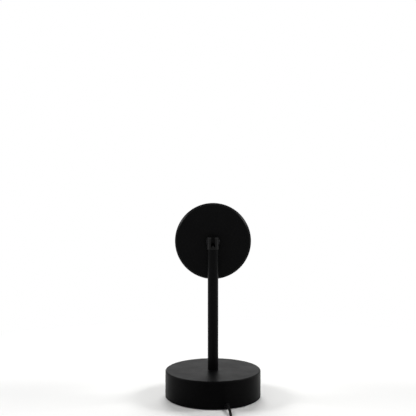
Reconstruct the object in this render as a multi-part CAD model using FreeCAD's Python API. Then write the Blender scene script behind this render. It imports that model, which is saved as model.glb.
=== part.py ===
import FreeCAD, Part
import math
import os

# Sunset projection lamp, in millimetres. The origin is the middle of the foot pad's underside, on
# the table. +Z is up, and +Y is the way that the beam points while the head is level.

# Base
base_dia = 90.0
base_height = 25.0          # table to the top of the base
rim_lift = 0.8              # table to the shell's lower rim
shell_wall = 1.5
shell_top = 2.0
base_edge_radius = 1.2      # rounding of the shell's upper edge
pad_thick = 1.4
pad_inset = 2.0             # from the shell's inner wall to the pad's edge
cover_thick = 1.0
base_fit = 0.3              # round the weight and the cover, inside the shell
weight_thick = 12.0
pillar_radius = 4.0
pillar_inset = 10.0         # from the shell's inner wall to a pillar's middle
pillar_angles = (30.0, 150.0, 270.0)
cover_screw_radius = 1.5
cover_screw_depth = 6.0
cover_head_radius = 2.8
cover_head_thick = 1.0

# Making of the solids
lap = 0.1                   # how far two forms go into each other before they are fused
past = 1.0                  # how far a cut goes past the face that it opens

# Stem and what clamps it to the base
stem_dia = 10.0
stem_bore = 8.0
nipple_bore = 5.0
nipple_in_stem = 14.0
thread_gap = 0.05           # between a thread and what it goes into
hole_spare = 0.5            # how much deeper a blind hole is than its screw
shaft_hole_gap = 0.25       # round a thread where it only passes through
nut_pocket_depth = 6.0
stem_washer_radius = 9.0
stem_washer_thick = 1.0
stem_nut_flats = 13.0
stem_nut_thick = 4.5
thread_proud = 1.7          # how far a thread stands out of its nut

# Fork joint
pivot_height = 145.5        # table to the tilt axis
yoke_dia = 11.5
yoke_flats = 9.0            # front to back
shoulder_drop = 6.0         # axis to the fork's shoulder
yoke_collar = 1.2
yoke_spigot = 10.0
slot_width = 4.1
slot_drop = 5.0             # axis to the slot's floor
wire_bore_radius = 1.9
tongue_thick = 3.4
tongue_radius = 4.5
tongue_groove = 2.4         # width of the wire groove
groove_floor_radius = 2.3
groove_step = 2.0           # how much lower the groove is than the neck's channel
pivot_radius = 1.5
pivot_gap = 0.05            # running gap round the pivot screw
spot_face = 4.4             # axis of the stem to each ear's spot face
screw_head_radius = 2.6
screw_head_thick = 1.75
screw_head_edge = 0.6
socket_flats = 2.0
socket_depth = 1.0
pivot_nut_flats = 5.5
pivot_nut_thick = 1.8
sink_gap = 0.2              # round a screw head or nut in its recess
friction_washer_thick = 0.25
friction_washer_radius = 3.8
neck_radius = 5.0
neck_start = 7.5            # axis to the neck, clear of the fork at both limits
cheek_rise = 4.0            # axis to the cheeks' upper edge
collar_radius = 6.0
collar_thick = 2.5
spigot_radius = 4.95
spigot_bore_radius = 3.7

# Head, along +Y from the tilt axis
head_dia = 74.0
back_gap = 14.0             # tilt axis to the flat back
back_thick = 2.0
head_wall = 1.6
back_chamfer = 1.9          # 45 degree chamfer round the back
back_chamfer_round = 0.4    # rounding of the chamfer's two edges
bracket_washer_radius = 9.0
bracket_washer_thick = 0.8
bracket_nut_flats = 14.0
bracket_nut_thick = 3.2
bracket_thread_proud = 0.6
boss_length = 8.0
boss_radius = 3.5
boss_inset = 3.9            # from the housing's inner wall to a boss's middle
boss_angles = (90.0, 210.0, 330.0)
sink_plate_thick = 3.0
sink_plate_fit = 0.3
fin_thick = 1.2
fin_pitch = 4.0
fin_count = 4               # on each side
fin_start = 16.0            # middle of the head to the first fin
fin_height = 5.5
fin_span = 44.0
fin_boss_gap = 1.5
fin_inset = 1.0             # plate's edge to a fin's end
sink_screw_radius = 1.2
sink_screw_depth = 6.0
sink_head_radius = 2.2
sink_head_thick = 1.3
led_board_radius = 20.0
led_board_thick = 1.2
led_screw_offset = 15.0
led_screw_inset = 0.3       # heat sink's back to the screw's end
led_base_radius = 3.5
led_base_thick = 1.0
led_dome_radius = 2.4
wire_hole_drop = 14.0       # head axis to the wires' way through the heat sink
wire_hole_radius = 1.9
barrel_length = 21.0
barrel_wall = 1.6
shelf_start = 9.8           # heat sink to the filter's shelf
shelf_thick = 1.8
shelf_width = 1.4
filter_thick = 1.1
filter_fit = 0.2
reflector_wall = 0.8
reflector_mouth_radius = 5.2
reflector_start = 2.8       # heat sink to the reflector's small end
reflector_flange = 0.8
reflector_step = 1.0        # shelf's edge to the reflector's mouth
lens_radius = 29.0
lens_fit = 0.3
lens_edge_thick = 2.5
lens_curve_radius = 45.0
lens_dome_radius = 27.2
gasket_thick = 0.8
gasket_inset = 0.2
bezel_seam = 0.3
bezel_reach = 4.0           # how far the bezel's spigot goes into the housing
bezel_lip = 1.7
bezel_opening_radius = 27.0
bezel_mouth_radius = 31.5
bezel_face = 8.7            # from the gasket to the bezel's front
bezel_edge_radius = 1.5
housing_length = 34.0

# Wires and the driver board
wire_dia = 1.1
wire_spacing = 1.16
wire_gap = 0.15             # round the wires in the bracket
wire_bend = 2.5
head_wire_bend = 1.6
pivot_wire_bend = 3.0
pivot_wire_drop = 5.9       # axis to the start of the bend over the pivot
head_wire_drop = 2.9        # axis to the wires in the bracket
head_wire_inset = 1.8       # heat sink's back to the wires behind it
head_wire_end = 6.0         # length of the wires along the LED board
board_length = 20.0
board_width = 16.0
board_thick = 1.2
board_start = 10.0          # stem's axis to the board's near edge
board_hang = 2.6            # weight to the board
board_screw_inset = 3.5
small_boss_radius = 2.4
small_screw_radius = 1.0
small_screw_depth = 4.0
small_head_radius = 2.0
small_head_thick = 1.2
choke_radius = 2.6
choke_height = 2.6
choke_offset = (-4.6, 1.0)  # from the board's middle
chip_size = (4.0, 5.0, 1.5)
chip_offset = (4.2, 0.5)
resistor_size = (3.2, 1.6, 0.6)
resistor_offset = (-4.9, -4.4)
capacitor_size = (2.6, 1.6, 1.2)
capacitor_offset = (4.3, -4.6)
board_wire_reach = 1.2      # how far the wires reach under the board
supply_lane = 5.0           # stem's axis to the supply wires at the board
supply_first_run = 4.0
supply_last_run = 5.0

# Supply cord
cord_dia = 2.4
exit_angle = 16.0           # from the back of the base round towards +X
exit_height = 3.0
cord_proud = 1.0            # base to the joint of the inner cord and the free cord
cord_gap = 0.05
grommet_wall = 0.75
grommet_flange_radius = 2.5
grommet_flange_thick = 0.5
cover_notch = 5.6
inner_level_inset = 5.5     # from the shell's inner wall to where the cord starts to rise
inner_rise_length = 9.0
clamp_inset = 21.5          # from the shell's inner wall to the clamp's middle
sheath_past_clamp = 3.5
clamp_length = 6.0
clamp_width = 15.0
clamp_screw_offset = 5.0
clamp_floor = 1.6
clamp_top = 0.4

# Free cord: points chosen by hand, the ends worked out from what they meet
lead_first_run = 5.5
lead_points = (
    (14.9, -57.0, 1.5),
    (15.2, -66.0, 1.3),
    (14.3, -79.0, 1.3),
    (15.4, -93.0, 1.3),
    (14.7, -106.0, 1.6),
    (15.0, -116.0, 1.85),
)
coil_middle = (34.3, -128.0)
coil_outer_radius = 19.3
coil_spacing = 2.9
coil_first_height = 1.85
layer_turns = (3.25, 3.0, 3.0, 3.0)
climb_turns = 0.5
coil_start_angle = 180.0
tie_angle = -50.0
tie_width = 6.0
tie_thick = 0.6
tie_gap = 0.15
tie_under = 0.05            # gap under the lowest turns
tie_edge = 1.5
bulge_share = 0.13          # how far a reversing turn stands out, in spacings
mid_first_run = 6.0
mid_points = (
    (17.6, -108.3, 8.3),
    (9.8, -107.3, 4.9),
    (3.0, -107.6, 3.0),
)
tail_points = (
    (-43.5, -107.6, 3.0),
    (-51.2, -110.0, 1.6),
    (-55.9, -116.2, 1.3),
    (-55.9, -124.0, 1.3),
    (-51.0, -130.4, 2.0),
    (-43.4, -132.6, 4.0),
)

# Switch on the cord
switch_right = -3.0
switch_middle_y = -107.6
switch_length = 36.0
switch_width = 13.5
switch_height = 10.0
switch_wall = 1.4
switch_split = 5.0
switch_corner = 4.5
switch_edge = 1.2
switch_seam = 0.1
switch_cord_height = 3.0
switch_boss_x = 9.0
switch_boss_y = 3.6
switch_boss_radius = 2.35
switch_screw_radius = 0.95
switch_screw_length = 6.4
switch_screw_head = 1.8
switch_head_thick = 1.2
switch_head_depth = 0.4
switch_stub = 5.5
core_radius = 0.5
module_size = 8.0
press_spare = 0.2           # button's flange to the module when pressed
module_floor = 0.75
well_radius = 2.7
button_length = 9.0
button_width = 6.5
button_end_flat = 0.1       # straight part in the middle of the button's round ends
button_proud = 1.2
button_gap = 0.3
button_flange = 0.8
button_flange_thick = 1.0
button_travel = 1.5
button_stem_radius = 2.3
button_stem_length = 2.4
button_edge = 0.8
spring_radius = 2.0
spring_wire = 0.3
spring_turns = 3
spring_gap = 0.03           # at each end of the spring

# USB plug
plug_left = -38.0
plug_middle_y = -132.6
plug_nose_length = 7.0
plug_nose_radius = 3.2
plug_nose_tip = 1.9
plug_body_length = 18.0
plug_body_width = 16.0
plug_body_height = 8.0
plug_body_edge = 1.6
plug_back_edge = 1.0
shell_width = 12.0
shell_height = 4.5
shell_sheet = 0.3
shell_edge = 0.6
window_length = 2.2
window_width = 2.0
window_middle = 5.0         # plug's face to the middle of each window
window_offset = 2.9         # plug's axis to the middle of each window
shell_reach = 12.0
shell_in_body = 3.0
insert_thick = 1.9
insert_recess = 0.5
insert_side_gap = 0.3
contact_width = 1.0
contact_thick = 0.15
contact_length = 7.0
contact_inset = 1.0         # from the insert's end
contact_places = (-3.5, -1.0, 1.0, 3.5)

# Heights and radii that follow
shell_outer = base_dia / 2
shell_inner = shell_outer - shell_wall
cover_top = pad_thick + cover_thick
weight_top = base_height - shell_top
weight_bottom = weight_top - weight_thick
pillar_circle = shell_inner - pillar_inset
thread_radius = stem_bore / 2 - thread_gap
hang_level = weight_bottom - board_hang
nut_seat = weight_bottom + nut_pocket_depth
nut_top = nut_seat - stem_washer_thick
nipple_bottom = nut_top - stem_nut_thick - thread_proud
stem_top = pivot_height - shoulder_drop - yoke_collar
ear_top = yoke_flats / 2
housing_back = back_gap
housing_inside = housing_back + back_thick
housing_front = housing_back + housing_length
head_outer = head_dia / 2
head_inner = head_outer - head_wall
boss_circle = head_inner - boss_inset
sink_back = housing_inside + boss_length
sink_front = sink_back + sink_plate_thick
board_front = sink_front + led_board_thick
barrel_front = sink_front + barrel_length
lens_edge_front = barrel_front + lens_edge_thick
gasket_front = lens_edge_front + gasket_thick
bezel_front = gasket_front + bezel_face
wire_side = wire_spacing / 2
wire_radius = wire_dia / 2
cord_radius = cord_dia / 2
exit_radius = shell_outer + cord_proud
switch_roof = switch_height - switch_wall
flange_top = switch_roof - button_gap
flange_low = flange_top - button_flange_thick
module_top = flange_low - button_travel - press_spare
bush_radius = cord_radius + cord_gap + grommet_wall
inner_level = shell_inner - inner_level_inset
inner_rise = inner_level - inner_rise_length
clamp_middle = shell_inner - clamp_inset
inner_cord_end = clamp_middle - clamp_length / 2 - sheath_past_clamp
cord_hang = hang_level - cord_radius
under_board = hang_level - board_thick - wire_radius


def vector(x, y, z):
    return FreeCAD.Vector(x, y, z)


def rod_z(radius, low, high, x=0.0, y=0.0):
    return Part.makeCylinder(radius, high - low, vector(x, y, low), vector(0, 0, 1))


def rod_y(radius, low, high, x=0.0, z=pivot_height):
    return Part.makeCylinder(radius, high - low, vector(x, low, z), vector(0, 1, 0))


def rod_x(radius, low, high, y=0.0, z=pivot_height):
    return Part.makeCylinder(radius, high - low, vector(low, y, z), vector(1, 0, 0))


def block(x_low, x_high, y_low, y_high, z_low, z_high):
    corner = vector(x_low, y_low, z_low)
    return Part.makeBox(x_high - x_low, y_high - y_low, z_high - z_low, corner)


def hexagon(flats, thick, seat, way):
    """A hexagonal prism of that width across flats, standing on seat along way."""
    corner_radius = flats / math.sqrt(3)
    corners = []
    for step in range(7):
        angle = math.radians(60 * step)
        corners.append(vector(corner_radius * math.cos(angle), corner_radius * math.sin(angle), 0))
    prism = Part.Face(Part.makePolygon(corners)).extrude(vector(0, 0, thick))
    prism.Placement = FreeCAD.Placement(seat, FreeCAD.Rotation(vector(0, 0, 1), way))
    return prism


def polar(radius, angle):
    return radius * math.cos(math.radians(angle)), radius * math.sin(math.radians(angle))


def turned(profile):
    """A solid of revolution about the head's axis, from corners given as (y, radius)."""
    corners = [vector(radius, y, pivot_height) for y, radius in profile]
    face = Part.Face(Part.makePolygon(corners + corners[:1]))
    return face.revolve(vector(0, 0, pivot_height), vector(0, 1, 0), 360)


def edges_at(shape, axis, value):
    """The round edges that lie in one plane across an axis."""
    found = []
    for edge in shape.Edges:
        box = edge.BoundBox
        low = getattr(box, axis + "Min")
        high = getattr(box, axis + "Max")
        if abs(low - value) < 0.001 and abs(high - value) < 0.001:
            found.append(edge)
    return found


def rounded_box(x_low, x_high, y_low, y_high, z_low, z_high, corner):
    """A block with its four upright edges rounded."""
    box = block(x_low, x_high, y_low, y_high, z_low, z_high)
    upright = [edge for edge in box.Edges if edge.BoundBox.ZLength > (z_high - z_low) * 0.99]
    return box.makeFillet(corner, upright)


def save(name, *solids):
    """Write one node: a solid, or a group of separate solids."""
    shape = solids[0] if len(solids) == 1 else Part.makeCompound(list(solids))
    shape.exportStep("parts/" + name + ".step")


# Tubes


def arc_middle(start, way, end):
    """The middle point of the arc that leaves start along way and reaches end."""
    chord = end - start
    along = vector(chord.x, chord.y, chord.z).normalize()
    side = (way - along * way.dot(along)).normalize()
    lean = along.getAngle(way)
    return start + chord * 0.5 + side * (chord.Length / 2 * math.tan(lean / 2))


def biarc(start, start_way, end, end_way):
    """Two arcs, tangent where they meet, from one point and heading to another."""
    chord = end - start
    along = chord.dot(start_way + end_way)
    spread = 2 * (1 - start_way.dot(end_way))
    reach = (math.sqrt(along * along + spread * chord.dot(chord)) - along) / spread
    joint = (start + end + (start_way - end_way) * reach) * 0.5
    first = Part.Arc(start, arc_middle(start, start_way, joint), joint)
    second = Part.Arc(joint, arc_middle(end, end_way * -1, joint), end)
    return [first.toShape(), second.toShape()]


def rounded_route(points, bend=None):
    """Straight runs joined by tangent arcs, and the arcs' radii."""
    corners = [vector(*point) for point in points]
    edges = []
    radii = []
    start = corners[0]
    for before, corner, after in zip(corners, corners[1:], corners[2:]):
        way_in = corner - before
        way_out = after - corner
        shorter = min(way_in.Length, way_out.Length)
        half_turn = way_in.getAngle(way_out) / 2
        way_in.normalize()
        way_out.normalize()
        radius = bend or 0.45 * shorter / math.tan(half_turn)
        reach = radius * math.tan(half_turn)
        inward = (way_out - way_in).normalize()
        centre = corner + inward * (radius / math.cos(half_turn))
        arc_start = corner - way_in * reach
        arc_end = corner + way_out * reach
        edges.append(Part.LineSegment(start, arc_start).toShape())
        edges.append(Part.Arc(arc_start, centre - inward * radius, arc_end).toShape())
        radii.append(radius)
        start = arc_end
    edges.append(Part.LineSegment(start, corners[-1]).toShape())
    return edges, radii


def tube_on(edges, radius, label):
    """A round tube along the edges, with its volume set against section times length."""
    spine = Part.Wire(edges)
    first = edges[0]
    start = first.valueAt(first.FirstParameter)
    way = first.tangentAt(first.FirstParameter)
    ring = Part.Wire([Part.makeCircle(radius, start, way)])
    solid = spine.makePipeShell([ring], True, False)
    plain = math.pi * radius * radius * spine.Length
    print(f"{label}: length {spine.Length:.1f} mm, volume ratio {solid.Volume / plain:.4f}")
    return solid


def cord_tube(label, points):
    edges, radii = rounded_route(points)
    print(f"{label}: bend radii", " ".join(f"{radius:.1f}" for radius in radii))
    return tube_on(edges, cord_radius, label)


def wire_tube(label, points, bend):
    edges, _ = rounded_route(points, bend)
    return tube_on(edges, wire_radius, label)


# Base


def base_shell():
    shell = rod_z(shell_outer, rim_lift, base_height)
    shell = shell.makeFillet(base_edge_radius, edges_at(shell, "Z", base_height))
    shell = shell.cut(rod_z(shell_inner, rim_lift - past, weight_top))
    shell = shell.cut(rod_z(thread_radius + shaft_hole_gap, weight_top - past, base_height + past))
    return shell.cut(exit_notch(bush_radius, inner_level, exit_radius))


def exit_notch(radius, near, far):
    """An arch on the cord's line: round above the cord, straight down to below the rim."""
    round_part = rod_x(radius, near, far, 0, exit_height)
    straight = block(near, far, -radius, radius, rim_lift - past, exit_height)
    return on_exit_line(round_part.fuse(straight).removeSplitter())


def on_exit_line(shape):
    """Turn what is drawn along +X onto the line on which the cord leaves the base."""
    turned_shape = shape.copy()
    turned_shape.rotate(vector(0, 0, 0), vector(0, 0, 1), exit_angle - 90)
    return turned_shape


def exit_point(radius, height, side=0.0):
    """A point on the cord's line, at that distance from the stem's axis."""
    angle = math.radians(exit_angle - 90)
    x = radius * math.cos(angle) - side * math.sin(angle)
    y = radius * math.sin(angle) + side * math.cos(angle)
    return (x, y, height)


def grommet():
    """A rubber bush that lines the notch, with a thin flange on each side of the wall."""
    outer_start = shell_outer + cord_gap
    inner_end = math.sqrt(shell_inner ** 2 - grommet_flange_radius ** 2) - cord_gap
    neck = clipped_rod(bush_radius - cord_gap, inner_end, outer_start)
    outer = clipped_rod(grommet_flange_radius, outer_start, outer_start + grommet_flange_thick)
    inner = clipped_rod(grommet_flange_radius, inner_end - grommet_flange_thick, inner_end)
    whole = neck.fuse([outer, inner])
    hole = rod_x(cord_radius + cord_gap, inner_level, shell_outer + cord_proud, 0, exit_height)
    return on_exit_line(whole.cut(hole).removeSplitter())


def clipped_rod(radius, near, far):
    """A rod on the cord's line, cut off level with the shell's rim."""
    rod = rod_x(radius, near, far, 0, exit_height)
    side = radius + past
    below = block(near - past, far + past, -side, side, exit_height - side, rim_lift)
    return rod.cut(below)


def pillar_spots():
    return [polar(pillar_circle, angle) for angle in pillar_angles]


def board_screw_spots():
    near = board_start + board_screw_inset
    far = board_start + board_length - board_screw_inset
    return [(0.0, near), (0.0, far)]


def clamp_screw_spots():
    spots = []
    for side in (-clamp_screw_offset, clamp_screw_offset):
        x, y, _ = exit_point(clamp_middle, 0, side)
        spots.append((x, y))
    return spots


def base_weight():
    """A cast disc with pillars for the cover, and small bosses for the board and the clamp."""
    weight = rod_z(shell_inner - base_fit, weight_bottom, weight_top)
    for x, y in pillar_spots():
        weight = weight.fuse(rod_z(pillar_radius, cover_top, weight_top, x, y))
    for x, y in board_screw_spots():
        weight = weight.fuse(rod_z(small_boss_radius, hang_level, weight_top, x, y))
    near = clamp_middle - clamp_length / 2
    far = clamp_middle + clamp_length / 2
    seat = block(near, far, -clamp_width / 2, clamp_width / 2, hang_level, weight_bottom + past)
    weight = weight.fuse(on_exit_line(seat))
    weight = weight.cut(rod_z(stem_washer_radius + sink_gap, weight_bottom - past, nut_seat))
    weight = weight.cut(rod_z(thread_radius + shaft_hole_gap, weight_bottom, weight_top + past))
    for x, y in pillar_spots():
        hole_top = cover_top + cover_screw_depth
        weight = weight.cut(rod_z(cover_screw_radius + thread_gap, cover_top - past, hole_top, x, y))
    for x, y in board_screw_spots() + clamp_screw_spots():
        hole_top = hang_level + small_screw_depth
        weight = weight.cut(rod_z(small_screw_radius + thread_gap, hang_level - past, hole_top, x, y))
    return weight.removeSplitter()


def base_cover():
    cover = rod_z(shell_inner - base_fit, pad_thick, cover_top)
    notch = block(inner_level - cord_dia, shell_outer, -cover_notch / 2, cover_notch / 2,
                  pad_thick - past, cover_top + past)
    cover = cover.cut(on_exit_line(notch))
    hole_radius = cover_screw_radius + shaft_hole_gap
    for x, y in pillar_spots():
        cover = cover.cut(rod_z(hole_radius, pad_thick - past, cover_top + past, x, y))
    return cover


def cover_screws():
    screws = []
    for x, y in pillar_spots():
        head = rod_z(cover_head_radius, pad_thick - cover_head_thick, pad_thick, x, y)
        shank = rod_z(cover_screw_radius, pad_thick - lap, cover_top + cover_screw_depth - hole_spare, x, y)
        screws.append(head.fuse(shank).removeSplitter())
    return screws


def foot_pad():
    pad = rod_z(shell_inner - pad_inset, 0, pad_thick)
    for x, y in pillar_spots():
        pad = pad.cut(rod_z(cover_head_radius + sink_gap, -past, pad_thick + past, x, y))
    return pad


def cord_clamp():
    """A bar with a half-round groove that holds the cord against the weight."""
    near = clamp_middle - clamp_length / 2
    far = clamp_middle + clamp_length / 2
    low = cord_hang - cord_radius - clamp_floor
    groove_radius = cord_radius + cord_gap
    bar = block(near, far, -clamp_width / 2, clamp_width / 2, low, cord_hang + clamp_top)
    groove = rod_x(groove_radius, near - past, far + past, 0, cord_hang)
    above = block(near - past, far + past, -groove_radius, groove_radius, cord_hang, hang_level)
    bar = on_exit_line(bar.cut([groove, above]))
    for x, y in clamp_screw_spots():
        bar = bar.cut(rod_z(small_screw_radius + shaft_hole_gap, low - past, hang_level, x, y))
    return bar


def clamp_screws():
    head_top = hang_level - cord_dia - clamp_floor
    screws = []
    for x, y in clamp_screw_spots():
        head = rod_z(small_head_radius, head_top - small_head_thick, head_top, x, y)
        shank = rod_z(small_screw_radius, head_top - lap, hang_level + small_screw_depth - hole_spare, x, y)
        screws.append(head.fuse(shank).removeSplitter())
    return screws


def inner_cord():
    points = (
        exit_point(exit_radius, exit_height),
        exit_point(inner_level, exit_height),
        exit_point(inner_rise, cord_hang),
        exit_point(inner_cord_end, cord_hang),
    )
    return cord_tube("inner_cord", points)


def driver_board():
    low = hang_level - board_thick
    board = block(-board_width / 2, board_width / 2, board_start, board_start + board_length,
                  low, hang_level)
    for x, y in board_screw_spots():
        board = board.cut(rod_z(small_screw_radius + shaft_hole_gap, low - past, hang_level + past, x, y))
    return board


def driver_parts():
    """A coil, a chip and two small blocks under the board."""
    low = hang_level - board_thick
    middle = board_start + board_length / 2
    parts = [rod_z(choke_radius, low - choke_height, low, choke_offset[0], middle + choke_offset[1])]
    for size, offset in (
        (chip_size, chip_offset),
        (resistor_size, resistor_offset),
        (capacitor_size, capacitor_offset),
    ):
        length, width, height = size
        x = offset[0]
        y = middle + offset[1]
        parts.append(block(x - length / 2, x + length / 2, y - width / 2, y + width / 2, low - height, low))
    return parts


def board_screws():
    low = hang_level - board_thick
    screws = []
    for x, y in board_screw_spots():
        head = rod_z(small_head_radius, low - small_head_thick, low, x, y)
        shank = rod_z(small_screw_radius, low - lap, hang_level + small_screw_depth - hole_spare, x, y)
        screws.append(head.fuse(shank).removeSplitter())
    return screws


def supply_wires():
    """Two wires from the end of the sheath to the board."""
    wires = []
    for side in (-wire_side, wire_side):
        lane = supply_lane + side
        points = (
            exit_point(inner_cord_end, cord_hang, side),
            exit_point(inner_cord_end - supply_first_run, cord_hang, side),
            (lane, board_start - supply_last_run, under_board),
            (lane, board_start + board_wire_reach, under_board),
        )
        wires.append(wire_tube("supply_wires", points, wire_bend))
    return wires


# Stem


def stem_nipple():
    nipple = rod_z(thread_radius, nipple_bottom, base_height + nipple_in_stem)
    return nipple.cut(rod_z(nipple_bore / 2, nipple_bottom - past, base_height + nipple_in_stem + past))


def stem_washer():
    washer = rod_z(stem_washer_radius, nut_top, nut_seat)
    return washer.cut(rod_z(thread_radius + shaft_hole_gap, nut_top - past, nut_seat + past))


def stem_nut():
    low = nut_top - stem_nut_thick
    nut = hexagon(stem_nut_flats, stem_nut_thick, vector(0, 0, low), vector(0, 0, 1))
    return nut.cut(rod_z(thread_radius + thread_gap, low - past, nut_top + past))


def stem_tube():
    tube = rod_z(stem_dia / 2, base_height, stem_top)
    return tube.cut(rod_z(stem_bore / 2, base_height - past, stem_top + past))


def stem_wires():
    """Two wires from the board, through the nipple and the stem, to just under the pivot."""
    wires = []
    for side in (-wire_side, wire_side):
        points = (
            (side, 0.0, pivot_height - pivot_wire_drop),
            (side, 0.0, under_board),
            (side, board_start + board_wire_reach, under_board),
        )
        wires.append(wire_tube("stem_wires", points, wire_bend))
    return wires


# Fork joint


def yoke():
    """A fork with a round collar and a spigot that goes into the stem."""
    shoulder = pivot_height - shoulder_drop
    outside = rod_z(yoke_dia / 2, shoulder - lap, pivot_height + ear_top)
    slab = block(-yoke_dia, yoke_dia, -ear_top, ear_top, shoulder - lap, pivot_height)
    slab = slab.fuse(rod_x(ear_top, -yoke_dia, yoke_dia))
    fork = outside.common(slab)
    fork = fork.fuse(rod_z(yoke_dia / 2, stem_top, shoulder))
    fork = fork.fuse(rod_z(stem_bore / 2 - thread_gap, stem_top - yoke_spigot, shoulder))
    slot_floor = pivot_height - slot_drop
    fork = fork.cut(block(-slot_width / 2, slot_width / 2, -yoke_dia, yoke_dia, slot_floor,
                          pivot_height + yoke_dia))
    fork = fork.cut(rod_z(wire_bore_radius, stem_top - yoke_spigot - past, pivot_height))
    fork = fork.cut(rod_x(pivot_radius + thread_gap, -yoke_dia, yoke_dia))
    fork = fork.cut(rod_x(screw_head_radius + sink_gap, spot_face, yoke_dia))
    nut_corner = pivot_nut_flats / math.sqrt(3)
    fork = fork.cut(rod_x(nut_corner + sink_gap, -yoke_dia, -spot_face))
    return fork.removeSplitter()


def pivot_screw():
    """A button-head screw with a hexagonal socket."""
    end = -(spot_face + pivot_nut_thick)
    screw = rod_x(pivot_radius, end, spot_face + lap)
    head = rod_x(screw_head_radius, spot_face, spot_face + screw_head_thick)
    head_end = spot_face + screw_head_thick
    head = head.makeFillet(screw_head_edge, edges_at(head, "X", head_end))
    socket_floor = vector(head_end - socket_depth, 0, pivot_height)
    socket = hexagon(socket_flats, socket_depth + past, socket_floor, vector(1, 0, 0))
    return screw.fuse(head).cut(socket).removeSplitter()


def pivot_nut():
    seat = -(spot_face + pivot_nut_thick)
    nut = hexagon(pivot_nut_flats, pivot_nut_thick, vector(seat, 0, pivot_height), vector(1, 0, 0))
    return nut.cut(rod_x(pivot_radius + thread_gap, seat - past, -spot_face + past))


def friction_washers():
    """One thin washer on each side of the tongue."""
    gap = (slot_width - tongue_thick) / 2
    middle = tongue_thick / 2 + gap / 2
    washers = []
    for side in (-1, 1):
        low = side * middle - friction_washer_thick / 2
        washer = rod_x(friction_washer_radius, low, low + friction_washer_thick)
        washers.append(washer.cut(rod_x(pivot_radius + pivot_gap, low - past, low + past)))
    return washers


def head_bracket():
    """The tongue, with a groove round its eye for the wires, a neck, a collar and a hollow thread."""
    half = tongue_thick / 2
    channel_low = pivot_height - head_wire_drop - wire_radius - wire_gap
    web_low = pivot_height - head_wire_drop + wire_radius + wire_gap
    body = rod_x(tongue_radius, -half, half)
    body = body.fuse(block(-half, half, 0, neck_start + lap, channel_low - lap, pivot_height + cheek_rise))
    ring = rod_x(tongue_radius + past, -tongue_groove / 2, tongue_groove / 2)
    ring = ring.cut(rod_x(groove_floor_radius, -half, half))
    ring = ring.cut(block(-half, half, 0, tongue_radius + 2, web_low, pivot_height + tongue_radius + 2))
    body = body.cut(ring)
    body = body.fuse(rod_y(neck_radius, neck_start, housing_back - collar_thick + lap))
    body = body.fuse(rod_y(collar_radius, housing_back - collar_thick, housing_back))
    spigot_end = housing_inside + bracket_washer_thick + bracket_nut_thick + bracket_thread_proud
    body = body.fuse(rod_y(spigot_radius, housing_back - lap, spigot_end))
    body = body.cut(block(-tongue_groove / 2, tongue_groove / 2, groove_floor_radius, spigot_end,
                          channel_low, web_low))
    body = body.cut(block(-tongue_groove / 2, tongue_groove / 2, groove_floor_radius, neck_start,
                          channel_low - groove_step, web_low))
    body = body.cut(rod_y(spigot_bore_radius, housing_back - collar_thick, spigot_end + past))
    body = body.cut(rod_x(pivot_radius + pivot_gap, -half - past, half + past))
    return body.removeSplitter()


def bracket_washer():
    washer = rod_y(bracket_washer_radius, housing_inside, housing_inside + bracket_washer_thick)
    return washer.cut(rod_y(spigot_radius + shaft_hole_gap, housing_inside - past, sink_back))


def bracket_nut():
    seat = housing_inside + bracket_washer_thick
    nut = hexagon(bracket_nut_flats, bracket_nut_thick, vector(0, seat, pivot_height), vector(0, 1, 0))
    return nut.cut(rod_y(spigot_radius + thread_gap, seat - past, sink_back))


def pivot_wires():
    """The wires' stretch round the pivot, which bends as the head tilts."""
    wires = []
    for side in (-wire_side, wire_side):
        start = vector(side, 0, pivot_height - pivot_wire_drop)
        bend_end = vector(side, pivot_wire_bend, pivot_height - head_wire_drop)
        last = vector(side, neck_start, pivot_height - head_wire_drop)
        middle = arc_middle(start, vector(0, 0, 1), bend_end)
        edges = [Part.Arc(start, middle, bend_end).toShape()]
        edges.append(Part.LineSegment(bend_end, last).toShape())
        wires.append(tube_on(edges, wire_radius, "pivot_wires"))
    return wires


# Head


def head_housing():
    """A round cup with a flat back, and three bosses for the heat sink."""
    cup = rod_y(head_outer, housing_back, housing_front)
    cup = cup.makeChamfer(back_chamfer, edges_at(cup, "Y", housing_back))
    rims = edges_at(cup, "Y", housing_back) + edges_at(cup, "Y", housing_back + back_chamfer)
    cup = cup.makeFillet(back_chamfer_round, rims)
    cup = cup.cut(rod_y(head_inner, housing_inside, housing_front + past))
    hole_end = sink_back - sink_screw_depth
    for x, z in boss_spots():
        cup = cup.fuse(rod_y(boss_radius, housing_inside - lap, sink_back, x, z))
        cup = cup.cut(rod_y(sink_screw_radius + thread_gap, hole_end, sink_back + past, x, z))
    cup = cup.cut(rod_y(spigot_radius + shaft_hole_gap, housing_back - past, housing_inside + past))
    return cup.removeSplitter()


def boss_spots():
    spots = []
    for angle in boss_angles:
        x, z = polar(boss_circle, angle)
        spots.append((x, pivot_height + z))
    return spots


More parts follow.
